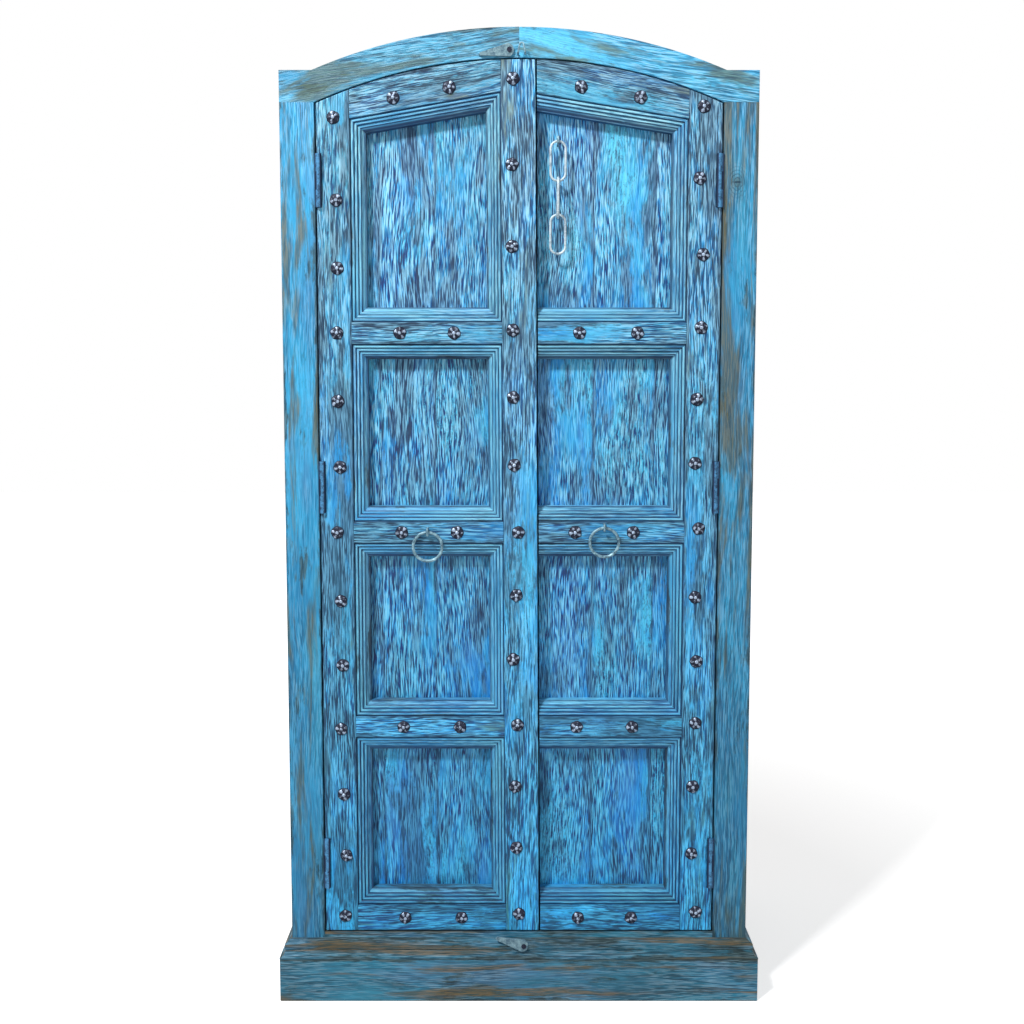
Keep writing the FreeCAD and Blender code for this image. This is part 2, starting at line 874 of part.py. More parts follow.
def make_header_staple():
    """A peaked staple beside the top turn button, for the last link of the chain."""
    reach = front - s.header_staple_reach
    low, high = header_staple_height, header_staple_height + s.header_staple_rise
    left = s.header_staple_place - s.header_staple_spread / 2
    right = s.header_staple_place + s.header_staple_spread / 2
    left_peak = s.header_staple_place - s.header_staple_bend
    right_peak = s.header_staple_place + s.header_staple_bend
    points = [
        vector(left, front + s.staple_leg, low),
        vector(left, reach, low),
        vector(left_peak, reach, high),
        vector(right_peak, reach, high),
        vector(right, reach, low),
        vector(right, front + s.staple_leg, low),
    ]
    path = bent_points(points, float(s.header_staple_bend))
    keep("header_staple", shaped("header_staple", forged_wire(path, float(s.header_staple_wire))))


def ring_top(side_name, share, rise):
    """Where a ring hangs: its place across the middle rail, and the height of its top."""
    middle = rail_middles["middle"]
    start, end = rail_ends(side_name, middle)
    return (derived(f"{side_name}_ring_place", start + (end - start) * share), middle + rise)


RING_TOPS = {
    "left": ring_top("left", LEFT_RING_SHARE, s.left_ring_rise),
    "right": ring_top("right", RIGHT_RING_SHARE, s.right_ring_rise),
}
ring_drop = derived("ring_drop", (s.ring_wire + s.staple_wire) / 2 + s.hang_clearance)


def make_ring(side_name):
    """A round pull that hangs in its staple from its top."""
    place_across, top = RING_TOPS[side_name]
    centre = vector(place_across, front - s.ring_stand_off, top - s.ring_radius)
    half_run = math.radians(FULL_TURN / RING_RUNS / 2)
    radius = float(s.ring_radius)
    arm = FreeCAD.Vector(radius * math.tan(half_run), 0, radius)
    points = swing(centre, arm, FreeCAD.Vector(0, 1, 0), FULL_TURN, RING_RUNS)
    ring = forged_wire(points[:-1] + points[:1], float(s.ring_wire))
    keep(f"{side_name}_ring", shaped(f"{side_name}_ring", ring))


chain_top = derived("chain_top", crown - s.chain_drop)
chain_plane = derived("chain_plane", panel - s.chain_stand_off)
link_pitch = derived("link_pitch", s.link_length - 2 * s.link_wire - s.hang_clearance)
chain_staple_low = derived(
    "chain_staple_low",
    chain_top - s.link_wire - s.hang_clearance - s.staple_wire / 2,
)
chain_staple_reach = derived(
    "chain_staple_reach",
    s.chain_stand_off + (s.link_wire + s.staple_wire) / 2 + s.hang_clearance,
)


def chain_link(top, sideways):
    """One long link that hangs from its top; sideways is the direction of its width."""
    bend = float((s.link_width - s.link_wire) / 2)
    centre = vector(s.chain_place, chain_plane, top - s.link_width / 2)
    drop = FreeCAD.Vector(0, 0, -float(s.link_length - s.link_width))
    axis = sideways.cross(FreeCAD.Vector(0, 0, 1))
    half_turn = FULL_TURN / 2
    points = swing(centre, sideways * bend, axis, half_turn, LINK_BEND_RUNS)
    points += swing(centre + drop, sideways * -bend, axis, half_turn, LINK_BEND_RUNS)
    return forged_wire(points + points[:1], float(s.link_wire))


def make_chain():
    """Three links, each turned a quarter from the one above."""
    across, outward = FreeCAD.Vector(1, 0, 0), FreeCAD.Vector(0, 1, 0)
    for index in range(CHAIN_LINK_COUNT):
        sideways = outward if index % 2 else across
        top = chain_top - link_pitch * index
        name = f"chain_link_{index + 1}"
        keep(name, shaped(name, chain_link(top, sideways)))


# Hinges

HINGE_MIDDLES = {
    name: derived(f"{name}_hinge_middle", door_foot + door_height * share)
    for name, share in zip(HINGE_NAMES, HINGE_SHARES)
}
pin_place = derived("pin_place", door_edge - s.knuckle_radius)
pin_depth = derived("pin_depth", front - s.pin_stand_off)
knuckle_pitch = derived("knuckle_pitch", s.hinge_height / KNUCKLE_COUNT)


def leaf_pieces(name, side, foot, plate, web_far, web_back, turns):
    """The plate, knuckles and webs of one hinge leaf."""
    pieces = [plate]
    for index in turns:
        low = foot + knuckle_pitch * index + s.knuckle_gap / 2
        length = knuckle_pitch - s.knuckle_gap
        pieces.append(flat_sided_rod(
            f"{name}_knuckle_{index + 1}", KNUCKLE_SIDES, s.knuckle_radius, length,
            (side * pin_place, pin_depth, low)
        ))
        pieces.append(side_board(
            f"{name}_web_{index + 1}", side, pin_place + s.knuckle_web, web_far,
            (pin_depth - s.knuckle_web / 2, low), (web_back, low + length)
        ))
    return pieces


def make_hinges(side_name):
    """Three butt hinges; each pin is fast in its frame leaf and runs in the door leaf."""
    side = SIDES[side_name]
    frame_leaves, door_leaves = [], []
    frame_near = opening - s.hinge_leaf_thickness
    door_far = door_edge + s.hinge_leaf_thickness
    leaf_front = pin_depth - s.knuckle_web / 2
    leaf_back = front + s.hinge_leaf_width
    for place_name, middle in HINGE_MIDDLES.items():
        foot = middle - s.hinge_height / 2
        top = foot + s.hinge_height
        name = f"{side_name}_{place_name}"
        frame_plate = side_board(
            f"{name}_frame_plate", side, frame_near, opening, (leaf_front, foot), (leaf_back, top)
        )
        pin = rod(
            f"{name}_pin", s.pin_radius - s.pin_clearance, knuckle_pitch + s.knuckle_gap,
            (side * pin_place, pin_depth, foot + knuckle_pitch - s.knuckle_gap / 2)
        )
        frame_leaves.append(fused(f"{name}_frame_leaf", [pin, *leaf_pieces(
            f"{name}_frame", side, foot, frame_plate, opening,
            pin_depth + s.knuckle_web / 2, range(0, KNUCKLE_COUNT, 2)
        )]))
        door_plate = side_board(
            f"{name}_door_plate", side, door_edge, door_far, (front, foot), (leaf_back, top)
        )
        door_whole = fused(f"{name}_door_whole", leaf_pieces(
            f"{name}_door", side, foot, door_plate, door_far,
            front + s.knuckle_web / 2, range(1, KNUCKLE_COUNT, 2)
        ))
        bore = rod(
            f"{name}_bore", s.pin_radius, s.hinge_height, (side * pin_place, pin_depth, foot)
        )
        door_leaves.append(cut(f"{name}_door_leaf", door_whole, bore))
    keep(f"frame_hinges_{side_name}", group(f"frame_hinges_{side_name}", frame_leaves))
    keep(f"door_hinges_{side_name}", group(f"door_hinges_{side_name}", door_leaves))


def hinge_notches(side_name):
    """The room that the knuckles need in the front edge of a door stile."""
    side = SIDES[side_name]
    near = pin_place - s.knuckle_radius - s.notch_clearance
    far = door_edge + s.overrun
    back_wall = pin_depth + s.knuckle_radius + s.notch_clearance
    reach = s.hinge_height / 2 + s.notch_clearance
    return fused(f"{side_name}_notches", [
        side_board(
            f"{side_name}_{place_name}_notch", side, near, far,
            (front - s.overrun, middle - reach), (back_wall, middle + reach)
        )
        for place_name, middle in HINGE_MIDDLES.items()
    ])


# Doors

def make_leaf_outline(side_name):
    """The full outline of one door, used to shape the pieces that reach its top or inner edge."""
    side = SIDES[side_name]
    outer_top = arc_height(door_radius, opening_centre, door_edge)
    inner_top = arc_height(door_radius, opening_centre, s.meeting_crown)
    corners = [
        (side * door_edge, outer_top),
        (meeting_edge(side, inner_top), inner_top, -side * door_radius),
        (meeting_edge(side, door_foot), door_foot),
        (side * door_edge, door_foot),
    ]
    return front_panel(f"{side_name}_leaf_outline", corners, front, door_back)


def make_door_boards(side_name, outline):
    """The upright boards that close the door behind its planted frame."""
    side = SIDES[side_name]
    width = door_edge + (s.meeting_foot if side < 0 else -s.meeting_crown)
    boards = []
    shares = BOARD_SHARES[side_name]
    for index, (start_share, end_share) in enumerate(zip(shares, shares[1:])):
        start = side * (door_edge - width * start_share)
        end = side * (door_edge - width * end_share)
        low, high = (start, end) if side < 0 else (end, start)
        blank = board(
            f"{side_name}_board_blank_{index + 1}", (low, panel, door_foot), (high, door_back, crown)
        )
        boards.append(common(f"{side_name}_board_{index + 1}", blank, outline))
    item = group(f"{side_name}_door_boards", boards)
    keep(f"{side_name}_door_boards", item)


def make_planted_frame(side_name, outline):
    """Stile and rails on the face of one door."""
    side = SIDES[side_name]
    stile = side_board(
        f"{side_name}_stile_blank", side, stile_inner, door_edge, (front, door_foot), (panel, crown)
    )
    stile_shaped = common(f"{side_name}_stile_shaped", stile, outline)
    keep(f"{side_name}_door_stile", cut(
        f"{side_name}_door_stile", stile_shaped, hinge_notches(side_name)
    ))
    outer = side * stile_inner
    inner_height = top_rail_inner[side_name]
    top_blank = front_panel(f"{side_name}_top_rail_blank", [
        (outer, top_rail_outer),
        (outer, crown),
        (bay_edge(side_name, crown), crown),
        (bay_edge(side_name, inner_height), inner_height),
    ], front, panel)
    keep(f"{side_name}_top_rail", common(f"{side_name}_top_rail", top_blank, outline))
    for name, middle in rail_middles.items():
        low, high = middle - rail_heights[name] / 2, middle + rail_heights[name] / 2
        rail = front_panel(f"{side_name}_{name}_rail_blank", [
            (outer, low),
            (outer, high),
            (bay_edge(side_name, high), high),
            (bay_edge(side_name, low), low),
        ], front, panel)
        if name == "middle":
            place_across, top = RING_TOPS[side_name]
            holes = staple_holes(
                f"{side_name}_ring_staple_holes", place_across, front, top - ring_drop
            )
            rail = cut(f"{side_name}_middle_rail_bored", rail, holes)
        keep(f"{side_name}_{name}_rail", rail)


def make_batten(outline):
    """The studded batten on the meeting edge of the left door."""
    left = SIDES["left"]
    blank = front_panel("batten_blank", [
        (batten_edge(door_foot), door_foot),
        (batten_edge(crown), crown),
        (meeting_edge(left, crown), crown),
        (meeting_edge(left, door_foot), door_foot),
    ], front, panel)
    keep("centre_batten", common("centre_batten", blank, outline))


def inset_corners(corners, distances):
    """Corners of an outline whose sides have moved inwards, each by its own distance."""
    lines = []
    for start, end, distance in zip(corners, corners[1:] + corners[:1], distances):
        along = (end - start).normalize()
        inward = FreeCAD.Vector(-along.z, 0, along.x)
        lines.append((start + inward * distance, along))
    moved = []
    for (before, way), (point, along) in zip(lines[-1:] + lines[:-1], lines):
        gap = point - before
        turn = way.x * along.z - way.z * along.x
        travel = (gap.x * along.z - gap.z * along.x) / turn
        moved.append(before + way * travel)
    return moved


def bay_strips(side_name, low, outer_high, inner_high):
    """The mitred mouldings round one bay; the right door's bays have none at the meeting edge."""
    side = SIDES[side_name]
    depth = panel
    outer_x = side * stile_inner
    corners = [
        vector(outer_x, depth, low),
        vector(bay_edge(side_name, low), depth, low),
        vector(bay_edge(side_name, inner_high), depth, inner_high),
        vector(outer_x, depth, outer_high),
    ]
    width = float(s.moulding_width)
    meeting = width if side_name == "left" else 0
    distances = [width, meeting, width, width]
    if side > 0:
        corners = [corners[index] for index in (1, 0, 3, 2)]
        distances = [width, width, width, meeting]
    inner = inset_corners(corners, distances)
    forward = FreeCAD.Vector(0, -1, 0)
    height = float(s.door_frame_thickness)
    strips = []
    for index, distance in enumerate(distances):
        after = (index + 1) % len(corners)
        if distance > 0:
            strips.append(mitred_strip(
                MOULDING_SHARES, height, forward,
                (corners[index], corners[after]), (inner[index], inner[after])
            ))
    return strips


def make_mouldings(side_name):
    """Mouldings of the slanted top bay, and of the three square bays under it."""
    names = ("bottom", "lower", "middle", "upper")
    top_bay = bay_strips(
        side_name, rail_middles["upper"] + rail_heights["upper"] / 2,
        top_rail_outer, top_rail_inner[side_name]
    )
    name = f"{side_name}_top_moulding"
    keep(name, shaped(name, Part.makeCompound(top_bay)))
    strips = []
    for below, above in zip(names, names[1:]):
        low = rail_middles[below] + rail_heights[below] / 2
        high = rail_middles[above] - rail_heights[above] / 2
        strips += bay_strips(side_name, low, high, high)
    name = f"{side_name}_bay_mouldings"
    keep(name, shaped(name, Part.makeCompound(strips)))


# Studs

def ladder_height(share):
    """A height on the ladder of rails, where each whole number is a rail and 4 is the crown."""
    rungs = [*rail_middles.values(), crown - s.door_gap]
    step = min(int(share), len(rungs) - 2)
    return rungs[step] + (rungs[step + 1] - rungs[step]) * round(share - step, 3)


def stud_head():
    """The bevelled eight-sided head that all the studs share."""
    forward = FreeCAD.Vector(0, -1, 0)
    foot = polygon(FreeCAD.Vector(), forward, float(s.stud_radius), STUD_SIDES)
    top = polygon(forward * float(s.stud_height), forward, float(s.stud_crown_radius), STUD_SIDES)
    low, high = foot.OrderedVertexes, top.OrderedVertexes
    faces = [Part.Face(foot), Part.Face(top)]
    for index in range(STUD_SIDES):
        ring = [low[index - 1], low[index], high[index], high[index - 1], low[index - 1]]
        faces.append(Part.Face(Part.makePolygon([vertex.Point for vertex in ring])))
    return Part.Solid(Part.Shell(faces))


def stile_studs(side_name):
    """The column of studs on a door's outer stile."""
    side = SIDES[side_name]
    return [
        (side * (door_edge - s.door_stile_width * across), ladder_height(up))
        for across, up in STUD_SHARES[side_name]
    ]


def batten_studs():
    """The column of studs on the centre batten."""
    spots = []
    for across, up in BATTEN_STUD_SHARES:
        height = ladder_height(up)
        spots.append((batten_edge(height) + s.batten_width * across, height))
    return spots


def rail_studs(side_name):
    """Two studs on each rail."""
    spots = []
    for middle, shares in zip(rail_middles.values(), RAIL_STUD_SHARES[side_name]):
        start, end = rail_ends(side_name, middle)
        spots += [(start + (end - start) * share, middle) for share in shares]
    inner_height = top_rail_inner[side_name]
    start, end = rail_ends(side_name, inner_height)
    heights = [top_rail_outer, inner_height]
    if side_name == "right":
        heights.reverse()
    for share in RAIL_STUD_SHARES[side_name][-1]:
        x = start + (end - start) * share
        edge = heights[0] + (heights[1] - heights[0]) * share
        top = arc_height(door_radius, opening_centre, x)
        spots.append((x, edge + (top - edge) * TOP_RAIL_STUD_RISE_SHARE))
    return spots


def make_studs(side_name):
    """All the studs of one door."""
    spots = stile_studs(side_name) + rail_studs(side_name)
    if side_name == "left":
        spots += batten_studs()
    head = stud_head()
    heads = [
        place(shaped(f"{side_name}_stud_{index + 1}", head), x, front, z)
        for index, (x, z) in enumerate(spots)
    ]
    keep(f"{side_name}_studs", group(f"{side_name}_studs", heads))


def make_staples():
    """The staple of each ring, and the long one that holds the chain."""
    ring_staples = {
        name: upright_staple(place_across, front, top - ring_drop, s.staple_reach)
        for name, (place_across, top) in RING_TOPS.items()
    }
    keep("left_ring_staple", shaped("left_ring_staple", ring_staples["left"]))
    chain_staple = upright_staple(s.chain_place, panel, chain_staple_low, chain_staple_reach)
    keep("right_staples", shaped("right_staples", Part.makeCompound([
        ring_staples["right"], chain_staple
    ])))


def bore_right_boards():
    """The holes of the chain's staple, in the board behind the top panel."""
    boards = nodes["right_door_boards"]
    holes = staple_holes("chain_staple_holes", s.chain_place, panel, chain_staple_low)
    keep("right_door_boards", cut("right_door_boards_bored", boards, holes))


def seat_outline():
    """The space that the roof boards fill, with room above, as a cutter."""
    reach = half + s.overrun
    above = s.total_height + s.overrun
    corners = [
        (-reach, roof_foot),
        (-reach, above),
        (reach, above),
        (reach, roof_foot),
        (roof_half, roof_foot),
        (-roof_half, roof_foot, -roof_radius),
    ]
    return front_panel("roof_seat", corners, frame_back - s.roof_rebate, frame_back + s.overrun)


def check_document():
    """Stops where an object failed, a cut took nothing away or a piece isn't sound."""
    for item in doc.Objects:
        if "Invalid" in item.State or "Error" in item.State:
            raise RuntimeError(f"{item.Name} failed: {item.State}")
    for item in cuts:
        if item.Shape.Volume >= item.Base.Shape.Volume:
            raise RuntimeError(f"{item.Name} cut nothing")
    for name, item in nodes.items():
        if item.Shape.isNull() or not item.Shape.isValid() or not item.Shape.Solids:
            raise RuntimeError(f"{name} is not a sound solid")


roof_seat = seat_outline()
for side_name in SIDES:
    make_header(side_name)
    make_carcass_side(side_name)
make_roof()
make_back()
make_shelves()
make_plinth_front()
make_base_moulding()
make_latch("top_latch", TOP_LATCH, s.top_latch_angle)
make_latch("bottom_latch", BOTTOM_LATCH, s.bottom_latch_angle)
make_latch_nails()
make_header_staple()
for side_name in SIDES:
    leaf = make_leaf_outline(side_name)
    make_door_boards(side_name, leaf)
    make_planted_frame(side_name, leaf)
    if side_name == "left":
        make_batten(leaf)
    make_mouldings(side_name)
    make_studs(side_name)
    make_hinges(side_name)
    make_ring(side_name)
bore_right_boards()
make_staples()
make_chain()

doc.recompute()
check_document()
os.makedirs("parts", exist_ok=True)
for name, item in nodes.items():
    item.Shape.exportStep(f"parts/{name}.step")
print(len(nodes), "nodes,", sum(len(item.Shape.Solids) for item in nodes.values()), "solids")
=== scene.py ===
import math
import random

import bmesh
import bpy
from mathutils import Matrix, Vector


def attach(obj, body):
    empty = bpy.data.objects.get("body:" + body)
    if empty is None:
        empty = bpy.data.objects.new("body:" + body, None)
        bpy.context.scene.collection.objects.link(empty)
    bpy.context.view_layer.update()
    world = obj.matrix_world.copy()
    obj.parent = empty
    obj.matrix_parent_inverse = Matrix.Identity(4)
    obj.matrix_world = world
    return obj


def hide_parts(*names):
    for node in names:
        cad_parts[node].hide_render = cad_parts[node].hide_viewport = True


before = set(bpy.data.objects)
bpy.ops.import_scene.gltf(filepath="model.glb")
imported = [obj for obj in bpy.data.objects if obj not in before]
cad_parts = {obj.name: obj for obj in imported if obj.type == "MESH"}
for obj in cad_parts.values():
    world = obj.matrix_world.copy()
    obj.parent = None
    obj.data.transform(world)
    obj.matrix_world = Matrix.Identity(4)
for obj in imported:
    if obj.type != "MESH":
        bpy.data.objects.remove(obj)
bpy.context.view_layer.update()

MM = 0.001

# The front of the doors' frames, how far the panels lie behind it, and the top of the arch
DOOR_FACE = -204.25 * MM
PANEL_DEPTH = 33 * MM
CABINET_HEIGHT = 1912 * MM

# The camera, solved from the photograph: metres, degrees and a 36 mm sensor
CAMERA_PLACE = (-0.0137, -2.34335, 1.2623)
CAMERA_TILT_DEG = 85.587
CAMERA_LENS_MM = 38.672
CAMERA_SHIFT = -0.0551

# The lights: place, aim and size in metres, and watts
KEY_LIGHT = ((-1.9, -2.6, 4.6), (0, 0, 1.0), 0.6, 223)
FILL_LIGHT = ((2.4, -3.4, 1.6), (0, 0, 0.9), 2.4, 10)
WORLD_LIGHT = 0.26

# The floor, and the glow that whitens it: weaker under the cabinet, where it would hide the shadow
FLOOR_REACH = 9.0
FLOOR_GREY = (0.86, 0.86, 0.86, 1)
GLOW_NEAR, GLOW_FAR = 0.62, 0.95
GLOW_FROM, GLOW_TO = 0.9, 2.2


# Studio

def make_camera():
    """The photograph's view of the front."""
    camera = bpy.data.objects.new("camera", bpy.data.cameras.new("camera"))
    camera.data.lens = CAMERA_LENS_MM
    camera.data.shift_y = CAMERA_SHIFT
    camera.location = CAMERA_PLACE
    camera.rotation_euler = (math.radians(CAMERA_TILT_DEG), 0, 0)
    bpy.context.scene.collection.objects.link(camera)
    bpy.context.scene.camera = camera
    bpy.context.scene.view_settings.view_transform = "Standard"


def area_light(name, place, aim, size, watts):
    """A soft square light that points at a spot."""
    data = bpy.data.lights.new(name, "AREA")
    data.size = size
    data.energy = watts
    light = bpy.data.objects.new(name, data)
    light.location = place
    way = [end - start for start, end in zip(place, aim)]
    flat = math.hypot(way[0], way[1])
    light.rotation_euler = (math.atan2(flat, -way[2]), 0, math.atan2(-way[0], way[1]))
    bpy.context.scene.collection.objects.link(light)


# Shader trees

def add(tree, kind, feeds=(), **settings):
    """Adds a node; feeds gives its inputs, by name or number, as sockets or as values."""
    node = tree.nodes.new(kind)
    for key, value in settings.items():
        setattr(node, key, value)
    for key, value in dict(feeds).items():
        if isinstance(value, bpy.types.NodeSocket):
            tree.links.new(value, node.inputs[key])
        else:
            node.inputs[key].default_value = value
    return node


def maths(tree, operation, *values):
    """One step of arithmetic on sockets or numbers."""
    return add(tree, "ShaderNodeMath", enumerate(values), operation=operation).outputs[0]


def spread(tree, value, low, high, start=0.0, end=1.0):
    """Takes low to high onto start to end, and holds it there."""
    feeds = {"Value": value, "From Min": low, "From Max": high, "To Min": start, "To Max": end}
    return add(tree, "ShaderNodeMapRange", feeds).outputs[0]


def blend(tree, share, first, second, way="MIX"):
    """Mixes two colours by a share."""
    feeds = {0: share, 6: first, 7: second}
    return add(tree, "ShaderNodeMix", feeds, data_type="RGBA", blend_type=way).outputs[2]


def stretched(tree, place, across, along):
    """The place, scaled so that a noise read from it runs along the grain."""
    feeds = {0: place, 1: (across, across, along)}
    return add(tree, "ShaderNodeVectorMath", feeds, operation="MULTIPLY").outputs[0]


def noise(tree, place, detail=4.0, roughness=0.6, distortion=0.0):
    """A cloud from 0 to 1, one cloud to each unit of place."""
    feeds = {
        "Vector": place, "Scale": 1.0, "Detail": detail,
        "Roughness": roughness, "Distortion": distortion
    }
    return add(tree, "ShaderNodeTexNoise", feeds).outputs[0]


def grained(tree, place, size, *look):
    """A noise stretched along the grain; size is how many to the metre, across it and along it."""
    return noise(tree, stretched(tree, place, *size), *look)


def linear(red, green, blue):
    """A colour picked in sRGB, from 0 to 255, as linear light."""
    def channel(value):
        share = value / 255
        return share / 12.92 if share <= 0.04045 else ((share + 0.055) / 1.055) ** 2.4

    return (channel(red), channel(green), channel(blue), 1.0)


def new_finish(name):
    """An empty material with its shader."""
    material = bpy.data.materials.new(name)
    material.use_nodes = True
    return material, material.node_tree, material.node_tree.nodes["Principled BSDF"]


# Finishes

LILAC = linear(122, 166, 220)
TURQUOISE = linear(76, 182, 206)

# What grows or wears along the grain, to the metre: across the grain and along it
LEANS = (8, 3.4)
CLOUDS = (14, 3.6)
ROUGH_PATCHES = (8, 3.0)
HAIRS = (600, 32)
STREAKS = (300, 13)
RINGS = (12, 1.7)
WEAR = (22, 6)
HUES = (17, 3.4)
FLAKES = (300, 95)

RINGS_IN_CLOUD = 30.0

# Where a noise, from 0 to 1, brings none of a mark, and where it brings all of it
LIGHT_TONE = (0.66, 0.96)
TO_LILAC = (0.54, 0.68)
TO_TURQUOISE = (0.46, 0.32)
ROUGH_SPOTS = (0.38, 0.52)
SUNKEN_HAIRS = (0.50, 0.43)
CREST_HIGHLIGHTS = (0.52, 0.58)
CRACKLED = (0.50, 0.62)
CURLED_UP = (0.54, 0.64)
FLAKED_OFF = (0.48, 0.38)
DIRTY_HAIRS = (0.53, 0.44)
BARE_HAIRS = (0.56, 0.42)
GROOVES = (0.45, 0.40)
RING_LINES = (0.15, 0.04)
RINGS_SHOWN = (0.42, 0.54)

# The same for bare wood and ochre, whose shares of a board move the first number down
BARE_FROM, BARE_BY_SHARE, BARE_BAND = 0.86, 0.26, 0.07
OCHRE_FROM, OCHRE_BY_SHARE, OCHRE_BAND = 0.64, 0.20, 0.09

# Shares of light that are left in dirt and in cracks, and of white in the painted highlights on the
# grain's crests
DIRT = 0.28
CRACK_DARK = 0.40
HIGHLIGHT_WHITE = 0.32

WORN_EDGE = 8 * MM
JOINT_FROM, JOINT_TO = 0.9 * MM, 2.4 * MM
FALL_FROM, FALL_TO = 100 * MM, 0.86 * CABINET_HEIGHT
WOOD_RELIEF = 1.4 * MM
IRON_RELIEF = 0.6 * MM

# A moulding's inner wall and its underside, which get painted shade, begin at these shares of the
# panels' depth
WALL_BEGINS = (0.50, 0.53)
UNDER_BEGINS = (0.42, 0.46)
# The painted shade's tone in a moulding's grooves, and the nearly black painted shadow under it
REED_SHADE = (0.05, 0.13, 0.23, 1)
PAINTED_UNDER_SHADOW = (0.02, 0.02, 0.02, 1)

# A knot's length for a width of one, and where its dark split across ends
KNOT_STRETCH = 1.5
SPLIT_FROM, SPLIT_TO = 4.2 * MM, 3.2 * MM
SPLIT_WAVER = 5 * MM


def darker(colour, share):
    """The same colour at a share of its light."""
    return (*[part * share for part in colour[:3]], 1)


def paler(colour, share):
    """The colour, taken a share of the way to white."""
    return (*[part + (1 - part) * share for part in colour[:3]], 1)


def knot_marks(tree, spot, streaks, hairs, knot):
    """A knot's heart, and its dark split and rim; knot gives its x, its z and its radius."""
    x, z, radius = knot
    across = maths(tree, "DIVIDE", maths(tree, "SUBTRACT", spot["X"], x), radius)
    along = maths(tree, "DIVIDE", maths(tree, "SUBTRACT", spot["Z"], z), radius * KNOT_STRETCH)
    across, along = maths(tree, "MULTIPLY", across, across), maths(tree, "MULTIPLY", along, along)
    around = maths(tree, "SQRT", maths(tree, "ADD", across, along))
    around = maths(tree, "ADD", around, maths(tree, "MULTIPLY", streaks, 0.5))
    heart = spread(tree, around, 1.05, 0.55)
    split = maths(tree, "ABSOLUTE", maths(tree, "SUBTRACT", spot["Z"], z))
    split = maths(tree, "ADD", split, maths(tree, "MULTIPLY", hairs, SPLIT_WAVER))
    split = maths(tree, "MULTIPLY", spread(tree, split, SPLIT_FROM, SPLIT_TO), heart)
    rim = maths(tree, "PINGPONG", maths(tree, "MULTIPLY", around, 3.0), 0.5)
    near = spread(tree, around, 2.4, 1.0, 0.0, 0.6)
    rim = maths(tree, "MULTIPLY", spread(tree, rim, 0.2, 0.0), near)
    return heart, maths(tree, "MAXIMUM", split, rim)


def reed_shading(tree, colour, spot, reeds):
    """Painted shade: dark grooves between a moulding's reeds, and a dark inner wall, darkest facing
    down and lighter facing up.
    """
    depth = spread(tree, spot["Y"], DOOR_FACE, DOOR_FACE + PANEL_DEPTH)
    ramp = add(tree, "ShaderNodeValToRGB", {0: depth})
    elements = ramp.color_ramp.elements
    elements.remove(elements[1])
    for index, (stop, value) in enumerate(reeds):
        element = elements[0] if index == 0 else elements.new(stop)
        element.position = stop
        element.color = (value, value, value, 1)
    # painted light and shade on the inner wall: lighter where it faces up, dark where it faces down
    facing = add(tree, "ShaderNodeNewGeometry").outputs["Normal"]
    facing = add(tree, "ShaderNodeSeparateXYZ", {0: facing}).outputs["Z"]
    wall = spread(tree, depth, *WALL_BEGINS)
    shown = blend(tree, wall, ramp.outputs[0], spread(tree, facing, -0.4, 0.9, 0.0, 0.95))
    # painted shadow: where a moulding faces down behind its reeds, it goes nearly black
    under = spread(tree, facing, -0.1, -0.4)
    under = maths(tree, "MULTIPLY", under, spread(tree, depth, *UNDER_BEGINS))
    shown = blend(tree, under, shown, PAINTED_UNDER_SHADOW)
    shaded = blend(tree, 1.0, colour, REED_SHADE, "MULTIPLY")
    return blend(tree, shown, shaded, colour)


